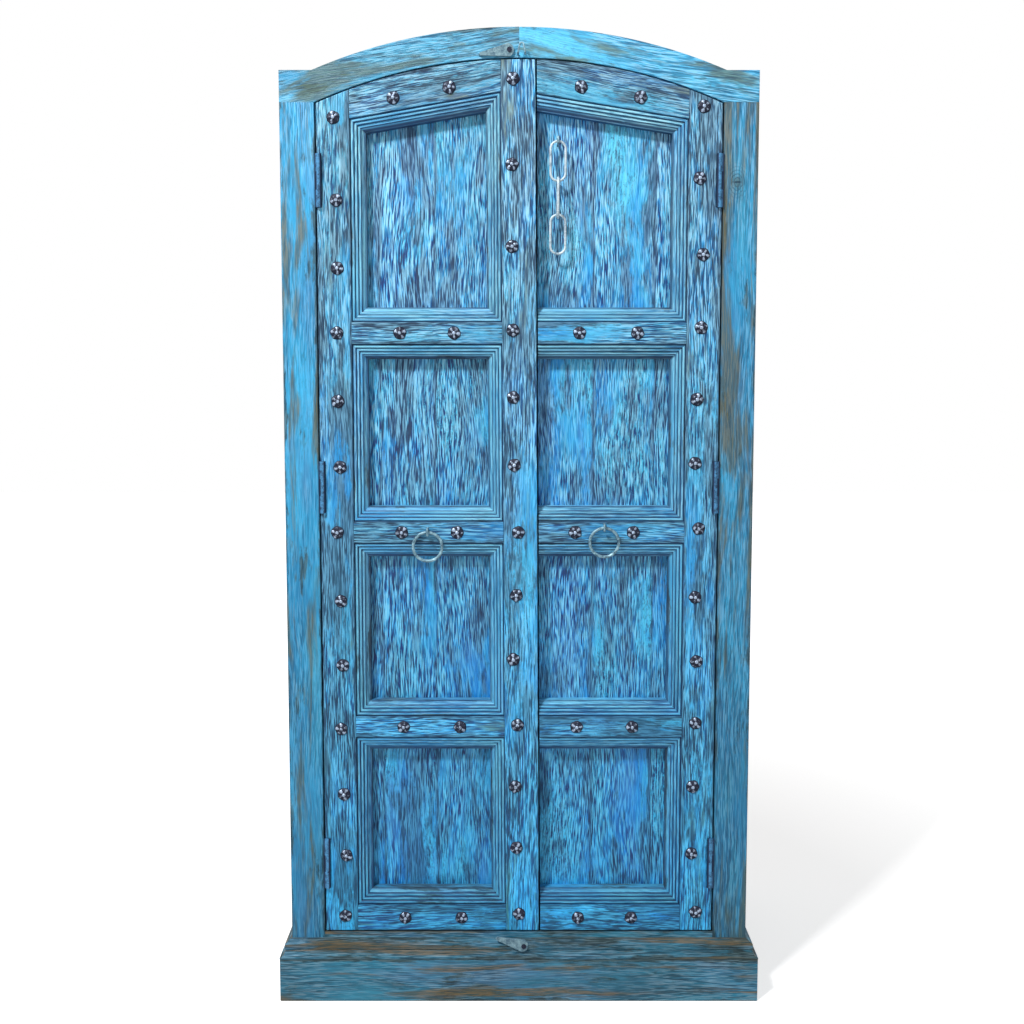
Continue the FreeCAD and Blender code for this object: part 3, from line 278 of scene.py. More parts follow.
def painted_wood(
    name, light, middle, deep, bare, ochre=None, bare_share=0.4, ochre_share=0.0,
    hair=0.6, crack=0.5, figure=0.5, crackle=0.5, joint=0.3, drift=0.5, sway=0.02,
    tints=(0.80, 1.12), patch_size=(26, 4.2), reeds=(), lower_tone=(0.28, 0.68, 0.83), knot=()
):
    """Old distressed paint over cracked wood; the grain runs along the board's own length.

    light, middle and deep are the paint's tones. bare_share and ochre_share say how much of a board
    is worn or stained, and hair, crack, figure, crackle, joint and drift how strongly those marks
    show, from 0 to 1. sway is how far the grain leans, in metres. lower_tone is what the foot of
    the cabinet keeps of red, green and blue.
    """
    material, tree, shader = new_finish(name)
    place = add(tree, "ShaderNodeAttribute", attribute_name="grain_place").outputs["Vector"]
    side = add(tree, "ShaderNodeAttribute", attribute_name="board_side").outputs["Vector"]
    side = add(tree, "ShaderNodeSeparateXYZ", {0: side}).outputs
    spot = add(tree, "ShaderNodeTexCoord").outputs["Object"]
    spot = add(tree, "ShaderNodeSeparateXYZ", {0: spot}).outputs

    # the grain leans to and fro, as around the heart of a tree
    lean = maths(tree, "SUBTRACT", grained(tree, place, LEANS, 1), 0.5)
    lean = add(tree, "ShaderNodeCombineXYZ", {0: maths(tree, "MULTIPLY", lean, sway)}).outputs[0]
    place = add(tree, "ShaderNodeVectorMath", {0: place, 1: lean}, operation="ADD").outputs[0]

    cloud = grained(tree, place, CLOUDS, 4)
    rough_share = grained(tree, place, ROUGH_PATCHES, 3)
    rough_share = spread(tree, rough_share, *ROUGH_SPOTS, 0.22, 1.0)
    hairs = grained(tree, place, HAIRS, 1, 0.5, 0.3)
    streaks = grained(tree, place, STREAKS, 3, 0.6, 0.3)
    rings = maths(tree, "MULTIPLY", grained(tree, place, RINGS, 2, 0.4, 0.5), RINGS_IN_CLOUD)
    rings = maths(tree, "PINGPONG", rings, 0.5)
    wear = grained(tree, place, WEAR, 7, 0.68, 0.2)

    # paint, in clouds of light and middle tone that drift to lilac and to turquoise
    tone = maths(tree, "ADD", cloud, maths(tree, "MULTIPLY", streaks, 0.6))
    colour = blend(tree, spread(tree, tone, *LIGHT_TONE), middle, light)
    hue = grained(tree, place, HUES, 3)
    colour = blend(tree, spread(tree, hue, *TO_LILAC, 0.0, drift), colour, LILAC)
    colour = blend(tree, spread(tree, hue, *TO_TURQUOISE, 0.0, drift), colour, TURQUOISE)

    # hairlines of grain, and patches of fine crackle
    sunk = spread(tree, hairs, *SUNKEN_HAIRS, 0.0, hair)
    sunk = maths(tree, "MULTIPLY", sunk, rough_share)
    colour = blend(tree, sunk, colour, deep)
    flakes = grained(tree, place, FLAKES, 3, 0.7, 0.4)
    flaking = spread(tree, cloud, *CRACKLED, 0.0, crackle)
    curled = maths(tree, "MULTIPLY", spread(tree, flakes, *CURLED_UP), flaking)
    colour = blend(tree, curled, colour, light)
    flake = maths(tree, "MULTIPLY", spread(tree, flakes, *FLAKED_OFF), flaking)
    colour = blend(tree, flake, colour, deep)

    # bare wood, where the paint has worn through, most of all along the edges
    inset = maths(tree, "SUBTRACT", side[1], maths(tree, "ABSOLUTE", side[0]))
    edge = spread(tree, inset, 0.0, WORN_EDGE, 0.12, 0.0)
    worn = maths(tree, "ADD", wear, edge)
    worn = maths(tree, "ADD", worn, maths(tree, "MULTIPLY", streaks, 0.3))
    least = BARE_FROM - BARE_BY_SHARE * bare_share
    worn = spread(tree, worn, least, least + BARE_BAND)
    bare_tone = blend(tree, spread(tree, hairs, *DIRTY_HAIRS), bare, darker(bare, DIRT))
    colour = blend(tree, maths(tree, "MULTIPLY", worn, 0.85), colour, bare_tone)

    # painted highlights on the crests of the grain, fewer on the bare wood
    lit = spread(tree, hairs, *CREST_HIGHLIGHTS, 0.0, hair * 0.85)
    lit = maths(tree, "MULTIPLY", lit, rough_share)
    lit = maths(tree, "MULTIPLY", lit, spread(tree, worn, 0, 1, 1.0, 0.6))
    colour = blend(tree, lit, colour, paler(light, HIGHLIGHT_WHITE))

    # ochre stains, rubbed down to the bare wood along the grain
    if ochre_share:
        patch = grained(tree, place, patch_size, 5, 0.62, 0.4)
        least = OCHRE_FROM - OCHRE_BY_SHARE * ochre_share
        patch = spread(tree, patch, least, least + OCHRE_BAND, 0.0, 0.78)
        rubbed = blend(tree, spread(tree, hairs, *BARE_HAIRS), ochre, bare)
        colour = blend(tree, patch, colour, rubbed)

    # cracks, the rings of the growing wood and the joints between boards
    grooves = spread(tree, streaks, *GROOVES, 0.0, crack)
    grooves = maths(tree, "MULTIPLY", grooves, rough_share)
    lines = spread(tree, rings, *RING_LINES)
    lines = maths(tree, "MULTIPLY", lines, spread(tree, wear, *RINGS_SHOWN))
    lines = maths(tree, "MULTIPLY", lines, figure)
    dark = maths(tree, "MAXIMUM", grooves, lines)
    dark = maths(tree, "MAXIMUM", dark, spread(tree, inset, JOINT_FROM, JOINT_TO, joint, 0.0))
    if knot:
        heart, marks = knot_marks(tree, spot, streaks, hairs, knot)
        colour = blend(tree, maths(tree, "MULTIPLY", heart, 0.7), colour, bare)
        dark = maths(tree, "MAXIMUM", dark, marks)
    colour = blend(tree, dark, colour, darker(deep, CRACK_DARK))

    # each board's own tint, and a darker foot
    tint = spread(tree, side[2], 0, 1, *tints)
    tint = add(tree, "ShaderNodeCombineColor", {0: tint, 1: tint, 2: tint}).outputs[0]
    colour = blend(tree, 1.0, colour, tint, "MULTIPLY")
    fall = spread(tree, spot["Z"], FALL_FROM, FALL_TO)
    fall = blend(tree, fall, (*lower_tone, 1), (1, 1, 1, 1))
    colour = blend(tree, 1.0, colour, fall, "MULTIPLY")
    # painted shade in a moulding's grooves and on its inner wall
    if reeds:
        colour = reed_shading(tree, colour, spot, reeds)

    tree.links.new(colour, shader.inputs["Base Color"])
    rough = spread(tree, maths(tree, "ADD", worn, dark), 0.0, 1.0, 0.48, 0.8)
    tree.links.new(rough, shader.inputs["Roughness"])
    relief = maths(tree, "SUBTRACT", maths(tree, "MULTIPLY", hairs, 0.8), dark)
    relief = maths(tree, "ADD", relief, maths(tree, "MULTIPLY", worn, -0.35))
    relief = maths(tree, "ADD", relief, maths(tree, "MULTIPLY", flake, -0.6))
    feeds = {"Strength": 0.8, "Distance": WOOD_RELIEF, "Height": relief}
    bump = add(tree, "ShaderNodeBump", feeds)
    tree.links.new(bump.outputs[0], shader.inputs["Normal"])
    return material


def old_metal(name, pale, dark, metal, roughness, scale, worn, crests=0.0, rim=0.0):
    """Forged metal: pale where rubbed, dark where dirt stays and low at a stud's rim; painted
    highlight on a stud's crests, painted shade along a leaf's rim.
    """
    material, tree, shader = new_finish(name)
    spot = add(tree, "ShaderNodeTexCoord").outputs["Object"]
    blotches = grained(tree, spot, (scale, scale), 5, 0.7)
    fine = grained(tree, spot, (scale * 5, scale * 5), 3, 0.6)
    fine = maths(tree, "MULTIPLY", fine, 0.3)
    mixed = maths(tree, "ADD", maths(tree, "MULTIPLY", blotches, 0.7), fine)
    # a stud's boss and petals paler, as rubbed iron and painted highlight, and its rim darker
    if crests:
        high = add(tree, "ShaderNodeAttribute", attribute_name="crest").outputs["Fac"]
        high = maths(tree, "MULTIPLY", maths(tree, "SUBTRACT", high, 0.5), crests)
        mixed = maths(tree, "ADD", mixed, high)
    rubbed = spread(tree, mixed, *worn)
    # painted shade: darker along a hinge leaf's rim
    if rim:
        side = add(tree, "ShaderNodeAttribute", attribute_name="board_side").outputs["Vector"]
        side = add(tree, "ShaderNodeSeparateXYZ", {0: side}).outputs
        inset = maths(tree, "SUBTRACT", side[1], maths(tree, "ABSOLUTE", side[0]))
        rubbed = maths(tree, "MULTIPLY", rubbed, spread(tree, inset, rim * 0.5, rim))
    tree.links.new(blend(tree, rubbed, dark, pale), shader.inputs["Base Color"])
    rough = spread(tree, rubbed, 0, 1, roughness + 0.2, roughness)
    tree.links.new(rough, shader.inputs["Roughness"])
    shader.inputs["Metallic"].default_value = metal
    feeds = {"Strength": 0.5, "Distance": IRON_RELIEF, "Height": blotches}
    bump = add(tree, "ShaderNodeBump", feeds)
    tree.links.new(bump.outputs[0], shader.inputs["Normal"])
    return material


FRAME_PAINT = painted_wood(
    "frame_paint",
    light=linear(64, 194, 248), middle=linear(34, 152, 208), deep=linear(30, 92, 130),
    bare=linear(74, 98, 100), ochre=linear(116, 104, 58), bare_share=0.50, ochre_share=0.68,
    hair=0.5, crack=0.4, figure=0.1, crackle=0.15, drift=0.35, patch_size=(30, 2.6),
    lower_tone=(0.36, 0.55, 0.58), knot=(0.417, 1.622, 0.014)
)
HEADER_PAINT = painted_wood(
    "header_paint",
    light=linear(94, 204, 248), middle=linear(50, 162, 212), deep=linear(28, 86, 128),
    bare=linear(80, 100, 98), ochre=linear(88, 112, 92), bare_share=0.50, ochre_share=0.60,
    hair=0.6, crack=0.5, figure=0.15, crackle=0.3, drift=0.3, patch_size=(20, 4.0)
)
DOOR_PAINT = painted_wood(
    "door_paint",
    light=linear(104, 216, 255), middle=linear(36, 162, 230), deep=linear(24, 76, 128),
    bare=linear(92, 128, 156), ochre=linear(104, 112, 86), bare_share=0.86, ochre_share=0.24,
    hair=0.95, crack=0.6, figure=0.15, crackle=0.5, drift=0.5, lower_tone=(0.20, 0.82, 1.05)
)
PANEL_PAINT = painted_wood(
    "panel_paint",
    light=linear(96, 220, 255), middle=linear(16, 158, 236), deep=linear(16, 58, 120),
    bare=linear(84, 120, 162), bare_share=0.76,
    hair=1.0, crack=0.34, figure=0.1, crackle=0.8, joint=0.25, drift=0.55, sway=0.036,
    tints=(0.88, 1.06), lower_tone=(0.19, 0.68, 0.86)
)

# Painted shade in a moulding's grooves and on its wall: shares of the panels' depth, each with 0
# for full shade
REED_SHADE_STOPS = (
    (0.0, 1.0), (0.107, 1.0), (0.116, 0.0), (0.180, 0.0), (0.185, 1.0), (0.193, 1.0),
    (0.200, 0.0), (0.276, 0.0), (0.281, 1.0), (0.288, 1.0), (0.295, 0.0), (0.385, 0.0),
    (0.397, 0.9), (0.480, 0.8), (0.515, 0.1), (0.56, 0.30), (1.0, 0.15)
)
MOULDING_PAINT = painted_wood(
    "moulding_paint",
    light=linear(152, 232, 255), middle=linear(86, 188, 242), deep=linear(34, 96, 150),
    bare=linear(110, 120, 128), bare_share=0.34,
    hair=0.5, crack=0.4, figure=0.1, crackle=0.15, drift=0.35, reeds=REED_SHADE_STOPS
)
PLINTH_PAINT = painted_wood(
    "plinth_paint",
    light=linear(40, 142, 176), middle=linear(26, 104, 130), deep=linear(14, 60, 82),
    bare=linear(64, 84, 80), ochre=linear(126, 98, 46), bare_share=0.60, ochre_share=0.58,
    hair=0.5, crack=0.5, figure=0.1, crackle=0.1, drift=0.25, patch_size=(40, 2.6),
    lower_tone=(0.8, 0.8, 0.8)
)
INSIDE_WOOD = painted_wood(
    "inside_wood",
    light=linear(176, 132, 90), middle=linear(148, 104, 66), deep=linear(96, 62, 38),
    bare=linear(128, 90, 58), bare_share=0.3,
    hair=0.5, crack=0.5, figure=0.6, crackle=0.1, joint=0.85, drift=0.0, tints=(0.72, 1.15),
    lower_tone=(0.9, 0.9, 0.9)
)
STUD_IRON = old_metal(
    "stud_iron", pale=linear(170, 190, 216), dark=linear(14, 22, 46),
    metal=0.35, roughness=0.38, scale=170, worn=(0.48, 0.60), crests=0.24
)
RING_STEEL = old_metal(
    "ring_steel", pale=linear(164, 206, 220), dark=linear(50, 84, 106),
    metal=0.25, roughness=0.4, scale=90, worn=(0.40, 0.62)
)
CHAIN_STEEL = old_metal(
    "chain_steel", pale=linear(206, 224, 232), dark=linear(104, 134, 156),
    metal=0.15, roughness=0.36, scale=90, worn=(0.32, 0.54)
)
HINGE_IRON = old_metal(
    "hinge_iron", pale=linear(78, 150, 200), dark=linear(10, 36, 70),
    metal=0.05, roughness=0.55, scale=90, worn=(0.38, 0.56), rim=3.4 * MM
)
LATCH_IRON = old_metal(
    "latch_iron", pale=linear(134, 166, 176), dark=linear(72, 104, 122),
    metal=0.2, roughness=0.55, scale=110, worn=(0.40, 0.60)
)


# Wood pieces, from the cabinet's own boards

# How far the edges are rounded off
EDGE_ROUND = 1.3 * MM
MOULDING_ROUND = 0.35 * MM
PLINTH_ROUND = 2.2 * MM
PLINTH_MOULD_ROUND = 0.8 * MM
HINGE_ROUND = 0.3 * MM
LATCH_ROUND = 0.8 * MM

# Edges shorter or blunter than these aren't rounded, and faces that meet flatter are made one
SHORT_EDGE = 14 * MM
BLUNT_DEG = 28
FLAT_DEG = 0.6

# A lying board that is less tall than this has level grain; a taller one's slope is taken
# between its ends, each this share of its length
LEVEL_HEIGHT = 20 * MM
BOARD_END = 0.06

# Where the tints of the stiles and headers lie, from their paint's darkest to its lightest
STILE_TINTS = {"left": 0.65, "right": 0.35}
HEADER_TINTS = {"left": 0.25, "right": 0.95}


def boards_of(name):
    """The boards of a node, each as a list of triangles of its corners."""
    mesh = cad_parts[name].data
    corners = [tuple(round(part, 6) for part in vertex.co) for vertex in mesh.vertices]
    mesh.calc_loop_triangles()
    triangles = [
        tuple(corners[index] for index in triangle.vertices) for triangle in mesh.loop_triangles
    ]
    meets = {}
    for number, triangle in enumerate(triangles):
        for start, end in zip(triangle, triangle[1:] + triangle[:1]):
            meets.setdefault(frozenset((start, end)), []).append(number)
    leader = list(range(len(triangles)))

    def lead(number):
        while leader[number] != number:
            leader[number] = leader[leader[number]]
            number = leader[number]
        return number

    for numbers in meets.values():
        if len(numbers) == 2:
            leader[lead(numbers[0])] = lead(numbers[1])
    boards = {}
    for number, triangle in enumerate(triangles):
        boards.setdefault(lead(number), []).append(triangle)
    return list(boards.values())


def eased_board(triangles, ease):
    """One board as a clean mesh, with its long edges rounded off."""
    board = bmesh.new()
    corners = {}
    for triangle in triangles:
        for corner in triangle:
            if corner not in corners:
                corners[corner] = board.verts.new(corner)
        if len(set(triangle)) == 3:
            board.faces.new([corners[corner] for corner in triangle])
    bmesh.ops.dissolve_limit(
        board, angle_limit=math.radians(FLAT_DEG), verts=board.verts[:], edges=board.edges[:]
    )
    if ease:
        edges = [
            edge for edge in board.edges
            if len(edge.link_faces) == 2
            and edge.calc_face_angle() > math.radians(BLUNT_DEG)
            and edge.calc_length() > SHORT_EDGE
        ]
        bmesh.ops.bevel(
            board, geom=edges, offset=ease, segments=2, profile=0.6,
            affect="EDGES", clamp_overlap=True
        )
    return board


def way_along(points):
    """A board's long direction, sloped where it rises from end to end, and its middle."""
    low = Vector([min(point[axis] for point in points) for axis in range(3)])
    high = Vector([max(point[axis] for point in points) for axis in range(3)])
    size = high - low
    middle = (low + high) / 2
    along = [Vector((1, 0, 0)), Vector((0, 1, 0)), Vector((0, 0, 1))][size[:].index(max(size))]
    if along.x and size.z > LEVEL_HEIGHT:
        end = size.x * BOARD_END
        left = [point[2] for point in points if point[0] < low.x + end]
        right = [point[2] for point in points if point[0] > high.x - end]
        rise = sum(right) / len(right) - sum(left) / len(left)
        along = Vector((size.x, 0, rise)).normalized()
    return along, middle


def dressed(name, body, node_names, finish, ease, own_tint=None):
    """The boards of some nodes as one piece, with rounded edges and a grain for each board."""
    dice = random.Random(name)
    joined = bmesh.new()
    grain = joined.verts.layers.float_vector.new("grain_place")
    sides = joined.verts.layers.float_vector.new("board_side")
    for node_name in node_names:
        for triangles in boards_of(node_name):
            board = eased_board(triangles, ease)
            points = [vertex.co.copy() for vertex in board.verts]
            along, middle = way_along(points)
            outward = Vector((1, 0, 0)) if along.y else Vector((0, 1, 0))
            across = along.cross(outward)
            shift = Vector((dice.uniform(0, 9), dice.uniform(0, 9), dice.uniform(0, 9)))
            tint = dice.random() if own_tint is None else own_tint
            half = max(abs((point - middle).dot(across)) for point in points)
            copies = {}
            for vertex in board.verts:
                copy = joined.verts.new(vertex.co)
                reach = vertex.co - middle
                sideways = reach.dot(across)
                copy[grain] = shift + Vector((sideways, reach.dot(outward), reach.dot(along)))
                copy[sides] = Vector((sideways, half, tint))
                copies[vertex] = copy
            for face in board.faces:
                joined.faces.new([copies[vertex] for vertex in face.verts])
            board.free()
    mesh = bpy.data.meshes.new(name)
    joined.to_mesh(mesh)
    joined.free()
    mesh.materials.append(finish)
    piece = new_piece(name, mesh)
    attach(piece, body)
    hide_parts(*node_names)


def make_woodwork():
    """Every board of the cabinet and its doors."""
    for side in ("left", "right"):
        door = f"{side}_door"
        dressed(
            f"{side}_frame_stile", "carcass", [f"stile_{side}"],
            FRAME_PAINT, EDGE_ROUND, STILE_TINTS[side]
        )
        dressed(
            f"{side}_frame_header", "carcass", [f"header_{side}"],
            HEADER_PAINT, EDGE_ROUND, HEADER_TINTS[side]
        )
        dressed(
            f"{side}_carcass_boards", "carcass", [f"side_boards_{side}"],
            FRAME_PAINT, EDGE_ROUND
        )
        dressed(
            f"{side}_panels", door, [f"{side}_door_boards"],
            PANEL_PAINT, EDGE_ROUND
        )
        dressed(
            f"{side}_outer_stile", door, [f"{side}_door_stile"],
            DOOR_PAINT, EDGE_ROUND
        )
        heights = ("bottom", "lower", "middle", "upper", "top")
        rails = [f"{side}_{height}_rail" for height in heights]
        dressed(f"{side}_rails", door, rails, DOOR_PAINT, EDGE_ROUND)
        strips = [f"{side}_bay_mouldings", f"{side}_top_moulding"]
        dressed(f"{side}_mouldings", door, strips, MOULDING_PAINT, MOULDING_ROUND)
    batten = ["centre_batten"]
    dressed("meeting_batten", "left_door", batten, DOOR_PAINT, EDGE_ROUND)
    dressed("carcass_sill", "carcass", ["bottom_rail"], PLINTH_PAINT, EDGE_ROUND)
    dressed("roof", "carcass", ["roof_boards"], FRAME_PAINT, EDGE_ROUND)
    plinth = ["plinth_front", "plinth_left", "plinth_right"]
    dressed("plinth", "carcass", plinth, PLINTH_PAINT, PLINTH_ROUND)
    mould = ["base_moulding_front", "base_moulding_left", "base_moulding_right"]
    dressed("plinth_mould", "carcass", mould, PLINTH_PAINT, PLINTH_MOULD_ROUND)
    dressed("back_planks", "carcass", ["back_boards"], INSIDE_WOOD, EDGE_ROUND)
    shelves = ["shelf_lower", "shelf_middle", "shelf_upper", "floor_board"]
    dressed("shelves", "carcass", shelves, INSIDE_WOOD, EDGE_ROUND)
    cleats = ["shelf_cleats_left", "shelf_cleats_right"]
    dressed("shelf_cleats", "carcass", cleats, INSIDE_WOOD, EDGE_ROUND)


# Stage

def make_floor():
    """A pale floor that looks white to the camera and keeps the shadow."""
    turns = ((-1, -1), (1, -1), (1, 1), (-1, 1))
    corners = [(x * FLOOR_REACH, y * FLOOR_REACH, 0) for x, y in turns]
    mesh = bpy.data.meshes.new("floor")
    mesh.from_pydata(corners, [], [(0, 1, 2, 3)])
    floor = bpy.data.objects.new("floor", mesh)
    bpy.context.scene.collection.objects.link(floor)
    material, tree, shader = new_finish("pale_floor")
    shader.inputs["Base Color"].default_value = FLOOR_GREY
    shader.inputs["Roughness"].default_value = 0.9
    seen = add(tree, "ShaderNodeLightPath").outputs["Is Camera Ray"]
    spot = add(tree, "ShaderNodeTexCoord").outputs["Object"]
    away = add(tree, "ShaderNodeVectorMath", {0: spot}, operation="LENGTH").outputs["Value"]
    glow = spread(tree, away, GLOW_FROM, GLOW_TO, GLOW_NEAR, GLOW_FAR)
    glow = maths(tree, "MULTIPLY", seen, glow)
    glowing = add(tree, "ShaderNodeEmission", {"Strength": glow})
    both = add(tree, "ShaderNodeAddShader", {0: shader.outputs[0], 1: glowing.outputs[0]})
    tree.links.new(both.outputs[0], tree.nodes["Material Output"].inputs["Surface"])
    mesh.materials.append(material)


def make_world():
    """Even light from all round, but white to the camera and in reflections."""
    world = bpy.data.worlds.new("studio")
    bpy.context.scene.world = world
    world.use_nodes = True
    tree = world.node_tree
    path = add(tree, "ShaderNodeLightPath").outputs
    seen = maths(tree, "MAXIMUM", path["Is Camera Ray"], path["Is Glossy Ray"])
    seen = maths(tree, "MAXIMUM", seen, path["Is Transmission Ray"])
    background = tree.nodes["Background"].inputs
    background["Color"].default_value = (1, 1, 1, 1)
    tree.links.new(spread(tree, seen, 0, 1, WORLD_LIGHT, 1.0), background["Strength"])


# Ironwork

STUD_SIDES = 40
STUD_GROWTH = 1.06

# A stud's section, from its tip to its rim: shares of its radius and of its height
BOSS_EDGE = 0.29
PETAL_END = 0.90
STUD_RINGS = (
    (0.10, 1.00), (0.22, 0.94), (BOSS_EDGE, 0.66), (0.40, 0.72),
    (0.56, 0.76), (0.72, 0.66), (0.86, 0.46), (0.96, 0.22), (1.00, 0.00)
)

# How far each petal stands out, and how much the gaps between petals draw in and drop
PETALS = (1.0, 0.6, 0.9, 0.45, 0.8)
PETAL_START = 0.2
GAP_INSET = 0.07
GAP_DROP = 0.38
# How pale a stud's boss is, as rubbed iron and painted highlight, and how dark its rim
BOSS_RUB_AND_HIGHLIGHT, DARK_RIM = 0.9, 0.05

# The wire is a little thinner than the solid that it follows, because it wavers
WIRE_FIT = 0.99
STAPLE_BEND = 4 * MM
BEND_STEPS = 8
LINK_STEPS = 12
RING_STEPS = 64

# The header's staple, a keeper for the chain: its wire, its bends and half of its blunt tip
KEEPER_WIRE = 1.75 * MM
KEEPER_BEND = 2.8 * MM
KEEPER_TIP = 3 * MM


def new_piece(name, mesh):
    """An object for a finished mesh, in the scene."""
    piece = bpy.data.objects.new(name, mesh)
    bpy.context.scene.collection.objects.link(piece)
    return piece


def stud_pattern(radius, height):
    """A stud's head: a boss in a ring of petals, with its back on the wood."""
    shape = bmesh.new()
    crest = shape.verts.layers.float.new("crest")
    tip = shape.verts.new((0, -height, 0))
    tip[crest] = 1.0
    loops = []
    for share, rise in STUD_RINGS:
        loop = []
        for step in range(STUD_SIDES):
            turn = 2 * math.pi * step / STUD_SIDES
            petal = PETALS[round(step * len(PETALS) / STUD_SIDES) % len(PETALS)]
            petal *= math.cos(len(PETALS) * turn / 2) ** 2
            among = min(1.0, max(0.0, (share - BOSS_EDGE) / PETAL_START))
            reach = radius * share * (1 - GAP_INSET * (1 - petal) * among)
            lift = height * rise * (1 - GAP_DROP * (1 - petal) * among)
            vertex = shape.verts.new((reach * math.cos(turn), -lift, reach * math.sin(turn)))
            # crests pale on the boss and petals, as rubbed iron and painted highlight; the rim dark
            if share < BOSS_EDGE:
                vertex[crest] = BOSS_RUB_AND_HIGHLIGHT
            elif BOSS_EDGE < share < PETAL_END:
                vertex[crest] = petal
            else:
                vertex[crest] = DARK_RIM
            loop.append(vertex)
        loops.append(loop)
    for step in range(STUD_SIDES):
        after = (step + 1) % STUD_SIDES
        shape.faces.new((tip, loops[0][step], loops[0][after]))
        for inner, outer in zip(loops, loops[1:]):
            shape.faces.new((inner[step], outer[step], outer[after], inner[after]))
    shape.faces.new(loops[-1][::-1])
    bmesh.ops.recalc_face_normals(shape, faces=shape.faces)
    mesh = bpy.data.meshes.new("stud_pattern")
    shape.to_mesh(mesh)
    shape.free()
    return mesh


def node_inputs(tree, **sizes):
    """Names the inputs of a geometry tree and gives their first values."""
    kinds = {float: "NodeSocketFloat", int: "NodeSocketInt", str: "NodeSocketObject"}
    tree.interface.new_socket("Geometry", in_out="INPUT", socket_type="NodeSocketGeometry")
    tree.interface.new_socket("Finish", in_out="INPUT", socket_type="NodeSocketMaterial")
    for name, value in sizes.items():
        label = name.replace("_", " ").title()
        socket = tree.interface.new_socket(label, in_out="INPUT", socket_type=kinds[type(value)])
        if not isinstance(value, str):
            socket.default_value = value
    tree.interface.new_socket("Geometry", in_out="OUTPUT", socket_type="NodeSocketGeometry")
    return add(tree, "NodeGroupInput").outputs


def shaded_out(tree, geometry, finish):
    """Ends a geometry tree: real mesh, smooth, in its finish."""
    real = add(tree, "GeometryNodeRealizeInstances", {0: geometry})
    smooth = add(tree, "GeometryNodeSetShadeSmooth", {"Geometry": real.outputs[0]})
    feeds = {"Geometry": smooth.outputs[0], "Material": finish}
    finished = add(tree, "GeometryNodeSetMaterial", feeds)
    add(tree, "NodeGroupOutput", {0: finished.outputs[0]})


def stud_tree():
    """Puts a stud at each point, turned and sized a little by chance."""
    tree = bpy.data.node_groups.new("studs_on_points", "GeometryNodeTree")
    given = node_inputs(tree, stud="object", turn_seed=4, size_spread=0.05)
    stud = add(tree, "GeometryNodeObjectInfo", {"Object": given["Stud"]})
    seed = {"Seed": given["Turn Seed"]}
    turn = add(tree, "FunctionNodeRandomValue", seed, data_type="FLOAT_VECTOR")
    turn.inputs["Min"].default_value = (0, 0, 0)
    turn.inputs["Max"].default_value = (0, 2 * math.pi, 0)
    least = maths(tree, "SUBTRACT", 1.0, given["Size Spread"])
    size = add(tree, "FunctionNodeRandomValue", {2: least, 3: 1.0, **seed}, data_type="FLOAT")
    feeds = {
        "Points": given["Geometry"], "Instance": stud.outputs["Geometry"],
        "Rotation": turn.outputs[0], "Scale": size.outputs[1]
    }
    placed = add(tree, "GeometryNodeInstanceOnPoints", feeds)
    shaded_out(tree, placed.outputs[0], given["Finish"])
    return tree


def wire_tree():
    """Sweeps a round wire along a path of points, wavering as forged wire does."""
    tree = bpy.data.node_groups.new("forged_wire", "GeometryNodeTree")
    given = node_inputs(tree, wire_radius=0.0025, waver=0.0002, sides=14)
    path = add(tree, "GeometryNodeMeshToCurve", {0: given["Geometry"]})
    place = add(tree, "GeometryNodeInputPosition").outputs[0]
    cloud = add(tree, "ShaderNodeTexNoise", {"Vector": place, "Scale": 90.0, "Detail": 1.0})
    feeds = {0: cloud.outputs[1], 1: (0.5, 0.5, 0.5)}
    away = add(tree, "ShaderNodeVectorMath", feeds, operation="SUBTRACT")
    feeds = {0: away.outputs[0], "Scale": given["Waver"]}
    away = add(tree, "ShaderNodeVectorMath", feeds, operation="SCALE")
    feeds = {"Geometry": path.outputs[0], "Offset": away.outputs[0]}
    bent = add(tree, "GeometryNodeSetPosition", feeds)
    feeds = {"Resolution": given["Sides"], "Radius": given["Wire Radius"]}
    section = add(tree, "GeometryNodeCurvePrimitiveCircle", feeds)
    feeds = {"Curve": bent.outputs[0], "Profile Curve": section.outputs[0], "Fill Caps": True}
    wire = add(tree, "GeometryNodeCurveToMesh", feeds)
    shaded_out(tree, wire.outputs[0], given["Finish"])
    return tree


def grown(name, seed_mesh, tree, **sizes):
    """Runs a geometry tree on a mesh and keeps the result as a plain piece."""
    seed = new_piece(f"{name}_seed", seed_mesh)
    growth = seed.modifiers.new("growth", "NODES")
    growth.node_group = tree
    named = {key.replace("_", " ").title(): value for key, value in sizes.items()}
    for item in tree.interface.items_tree:
        if item.in_out == "INPUT" and item.name in named:
            growth[item.identifier] = named[item.name]
    ready = seed.evaluated_get(bpy.context.evaluated_depsgraph_get())
    mesh = bpy.data.meshes.new_from_object(ready)
    mesh.name = name
    seed.modifiers.remove(growth)
    bpy.data.objects.remove(seed)
    return new_piece(name, mesh)


def extent(triangles):
    """The lowest and highest corner of one solid of a node."""
    corners = [corner for triangle in triangles for corner in triangle]
    low = Vector([min(corner[axis] for corner in corners) for axis in range(3)])
    high = Vector([max(corner[axis] for corner in corners) for axis in range(3)])
    return low, high


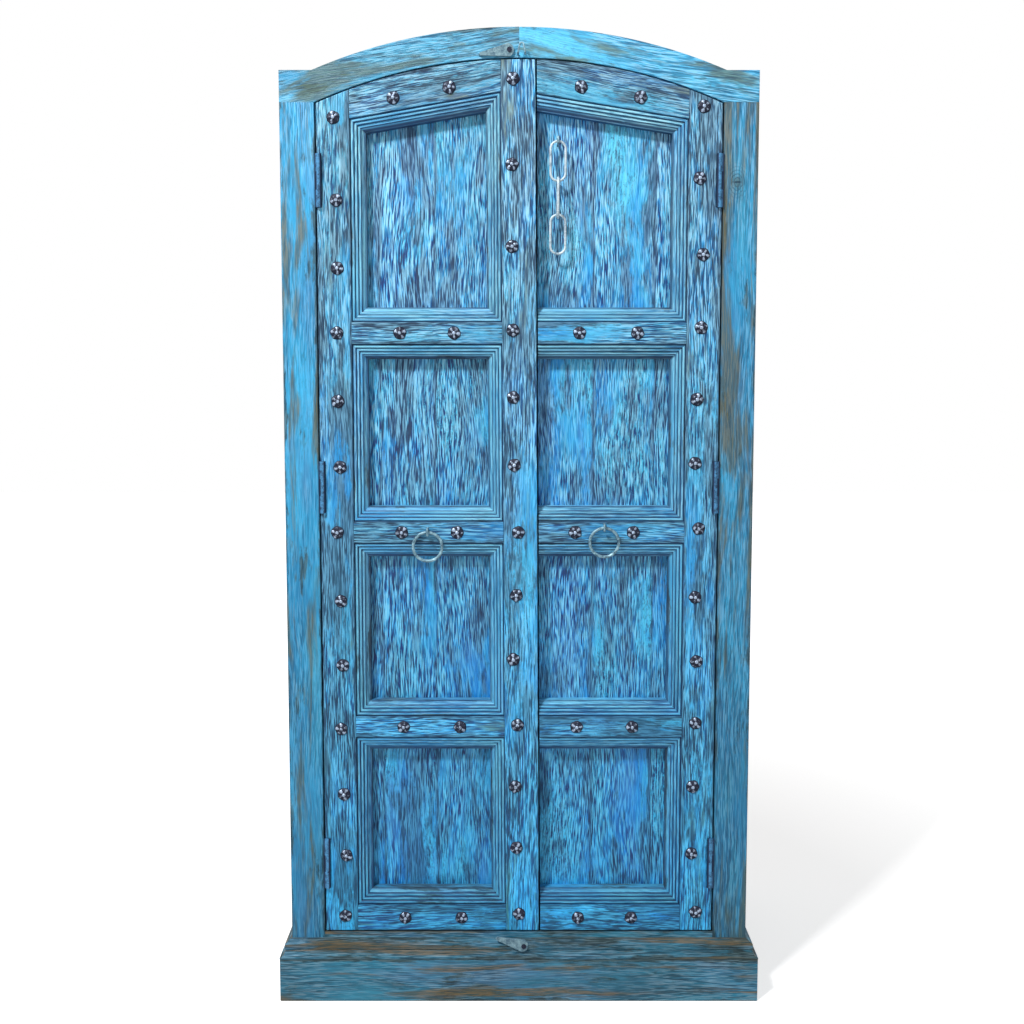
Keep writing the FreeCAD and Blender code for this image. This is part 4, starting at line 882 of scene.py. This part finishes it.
def make_studs(side, tree):
    """The studs of one door, where the solids of its studs stand."""
    node_name = f"{side}_studs"
    spots = [extent(solid) for solid in boards_of(node_name)]
    low, high = spots[0]
    radius, height = (high.x - low.x) / 2 * STUD_GROWTH, high.y - low.y
    pattern = new_piece("stud_pattern", stud_pattern(radius, height))
    places = bpy.data.meshes.new("stud_places")
    places.from_pydata([((a.x + b.x) / 2, b.y, (a.z + b.z) / 2) for a, b in spots], [], [])
    piece = grown(f"{side}_rosettes", places, tree, finish=STUD_IRON, stud=pattern)
    bpy.data.objects.remove(pattern)
    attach(piece, f"{side}_door")
    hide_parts(node_name)


def rounded(points, radius):
    """A path with its corners rounded off, between its two ends."""
    path = [points[0]]
    for before, corner, after in zip(points, points[1:], points[2:]):
        start = corner + (before - corner).normalized() * radius
        end = corner + (after - corner).normalized() * radius
        for step in range(BEND_STEPS + 1):
            share = step / BEND_STEPS
            path.append(start.lerp(corner, share).lerp(corner.lerp(end, share), share))
    return [*path, points[-1]]


def path_mesh(paths):
    """The seed of a wire, its points joined in a row; each path says whether it closes."""
    points, edges = [], []
    for path, closed in paths:
        first = len(points)
        points += [tuple(point) for point in path]
        edges += [(index, index + 1) for index in range(first, len(points) - 1)]
        if closed:
            edges.append((len(points) - 1, first))
    mesh = bpy.data.meshes.new("wire_path")
    mesh.from_pydata(points, edges, [])
    return mesh


def upright_path(low, high, radius):
    """The path of a staple with one leg above the other."""
    x, front = (low.x + high.x) / 2, low.y + radius
    top, foot = high.z - radius, low.z + radius
    corners = [
        Vector((x, high.y, top)), Vector((x, front, top)),
        Vector((x, front, foot)), Vector((x, high.y, foot))
    ]
    return rounded(corners, STAPLE_BEND), False


def peaked_path(low, high, radius):
    """The path of the header's staple, which narrows to its top."""
    left, right = low.x + radius, high.x - radius
    middle, front = (left + right) / 2, low.y + radius
    foot, top = low.z + radius, high.z - radius
    corners = [
        Vector((left, high.y, foot)), Vector((left, front, foot)),
        Vector((middle - KEEPER_TIP, front, top)), Vector((middle + KEEPER_TIP, front, top)),
        Vector((right, front, foot)), Vector((right, high.y, foot))
    ]
    return rounded(corners, KEEPER_BEND), False


def link_path(low, high, radius):
    """The path of a chain link: two straight sides and a bend at each end."""
    middle = (low + high) / 2
    flat = Vector((1, 0, 0)) if high.x - low.x > high.y - low.y else Vector((0, 1, 0))
    bend = max(high.x - low.x, high.y - low.y) / 2 - radius
    reach = (high.z - low.z) / 2 - radius - bend
    path = []
    for end in (1, -1):
        for step in range(LINK_STEPS + 1):
            turn = math.pi * step / LINK_STEPS
            rise = Vector((0, 0, end * bend * math.sin(turn)))
            swing = flat * (end * bend * math.cos(turn)) + rise
            path.append(middle + Vector((0, 0, end * reach)) + swing)
    return path, True


def ring_path(low, high, radius):
    """The path of a ring pull."""
    middle = (low + high) / 2
    bend = (high.z - low.z) / 2 - radius
    turns = [2 * math.pi * step / RING_STEPS for step in range(RING_STEPS)]
    around = [Vector((bend * math.sin(turn), 0, bend * math.cos(turn))) for turn in turns]
    return [middle + swing for swing in around], True


def make_wire(name, body, node_name, shape, tree, waver, finish=RING_STEEL):
    """A node's wires, round and a little uneven."""
    paths = []
    for solid in boards_of(node_name):
        low, high = extent(solid)
        radius = min(high.x - low.x, high.y - low.y) / 2
        if node_name == "header_staple":
            radius = KEEPER_WIRE
        paths.append(shape(low, high, radius))
    sizes = {"wire_radius": radius * WIRE_FIT, "waver": waver * radius}
    piece = grown(name, path_mesh(paths), tree, finish=finish, **sizes)
    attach(piece, body)
    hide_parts(node_name)


def make_ironwork():
    """Studs, ring pulls, chain, staples, turn buttons and hinges."""
    studs, wire = stud_tree(), wire_tree()
    for side in ("left", "right"):
        door = f"{side}_door"
        make_studs(side, studs)
        make_wire(f"{side}_ring_pull", f"{side}_ring", f"{side}_ring", ring_path, wire, 0.25)
        dressed(
            f"{side}_door_leaves", door, [f"door_hinges_{side}"],
            HINGE_IRON, HINGE_ROUND
        )
        dressed(
            f"{side}_frame_leaves", "carcass", [f"frame_hinges_{side}"],
            HINGE_IRON, HINGE_ROUND
        )
    make_wire("left_pull_staple", "left_door", "left_ring_staple", upright_path, wire, 0.1)
    make_wire("right_door_staples", "right_door", "right_staples", upright_path, wire, 0.1)
    make_wire("chain_keeper", "carcass", "header_staple", peaked_path, wire, 0.1)
    for number in (1, 2, 3):
        link = f"chain_link_{number}"
        make_wire(f"chain_piece_{number}", link, link, link_path, wire, 0.3, CHAIN_STEEL)
    for end in ("top", "bottom"):
        latch = f"{end}_latch"
        dressed(f"{end}_turn_button", latch, [latch], LATCH_IRON, LATCH_ROUND)
    dressed("turn_button_nails", "carcass", ["latch_nails"], STUD_IRON, 0)


make_camera()
make_world()
area_light("key", *KEY_LIGHT)
area_light("fill", *FILL_LIGHT)
make_floor()
make_woodwork()
make_ironwork()
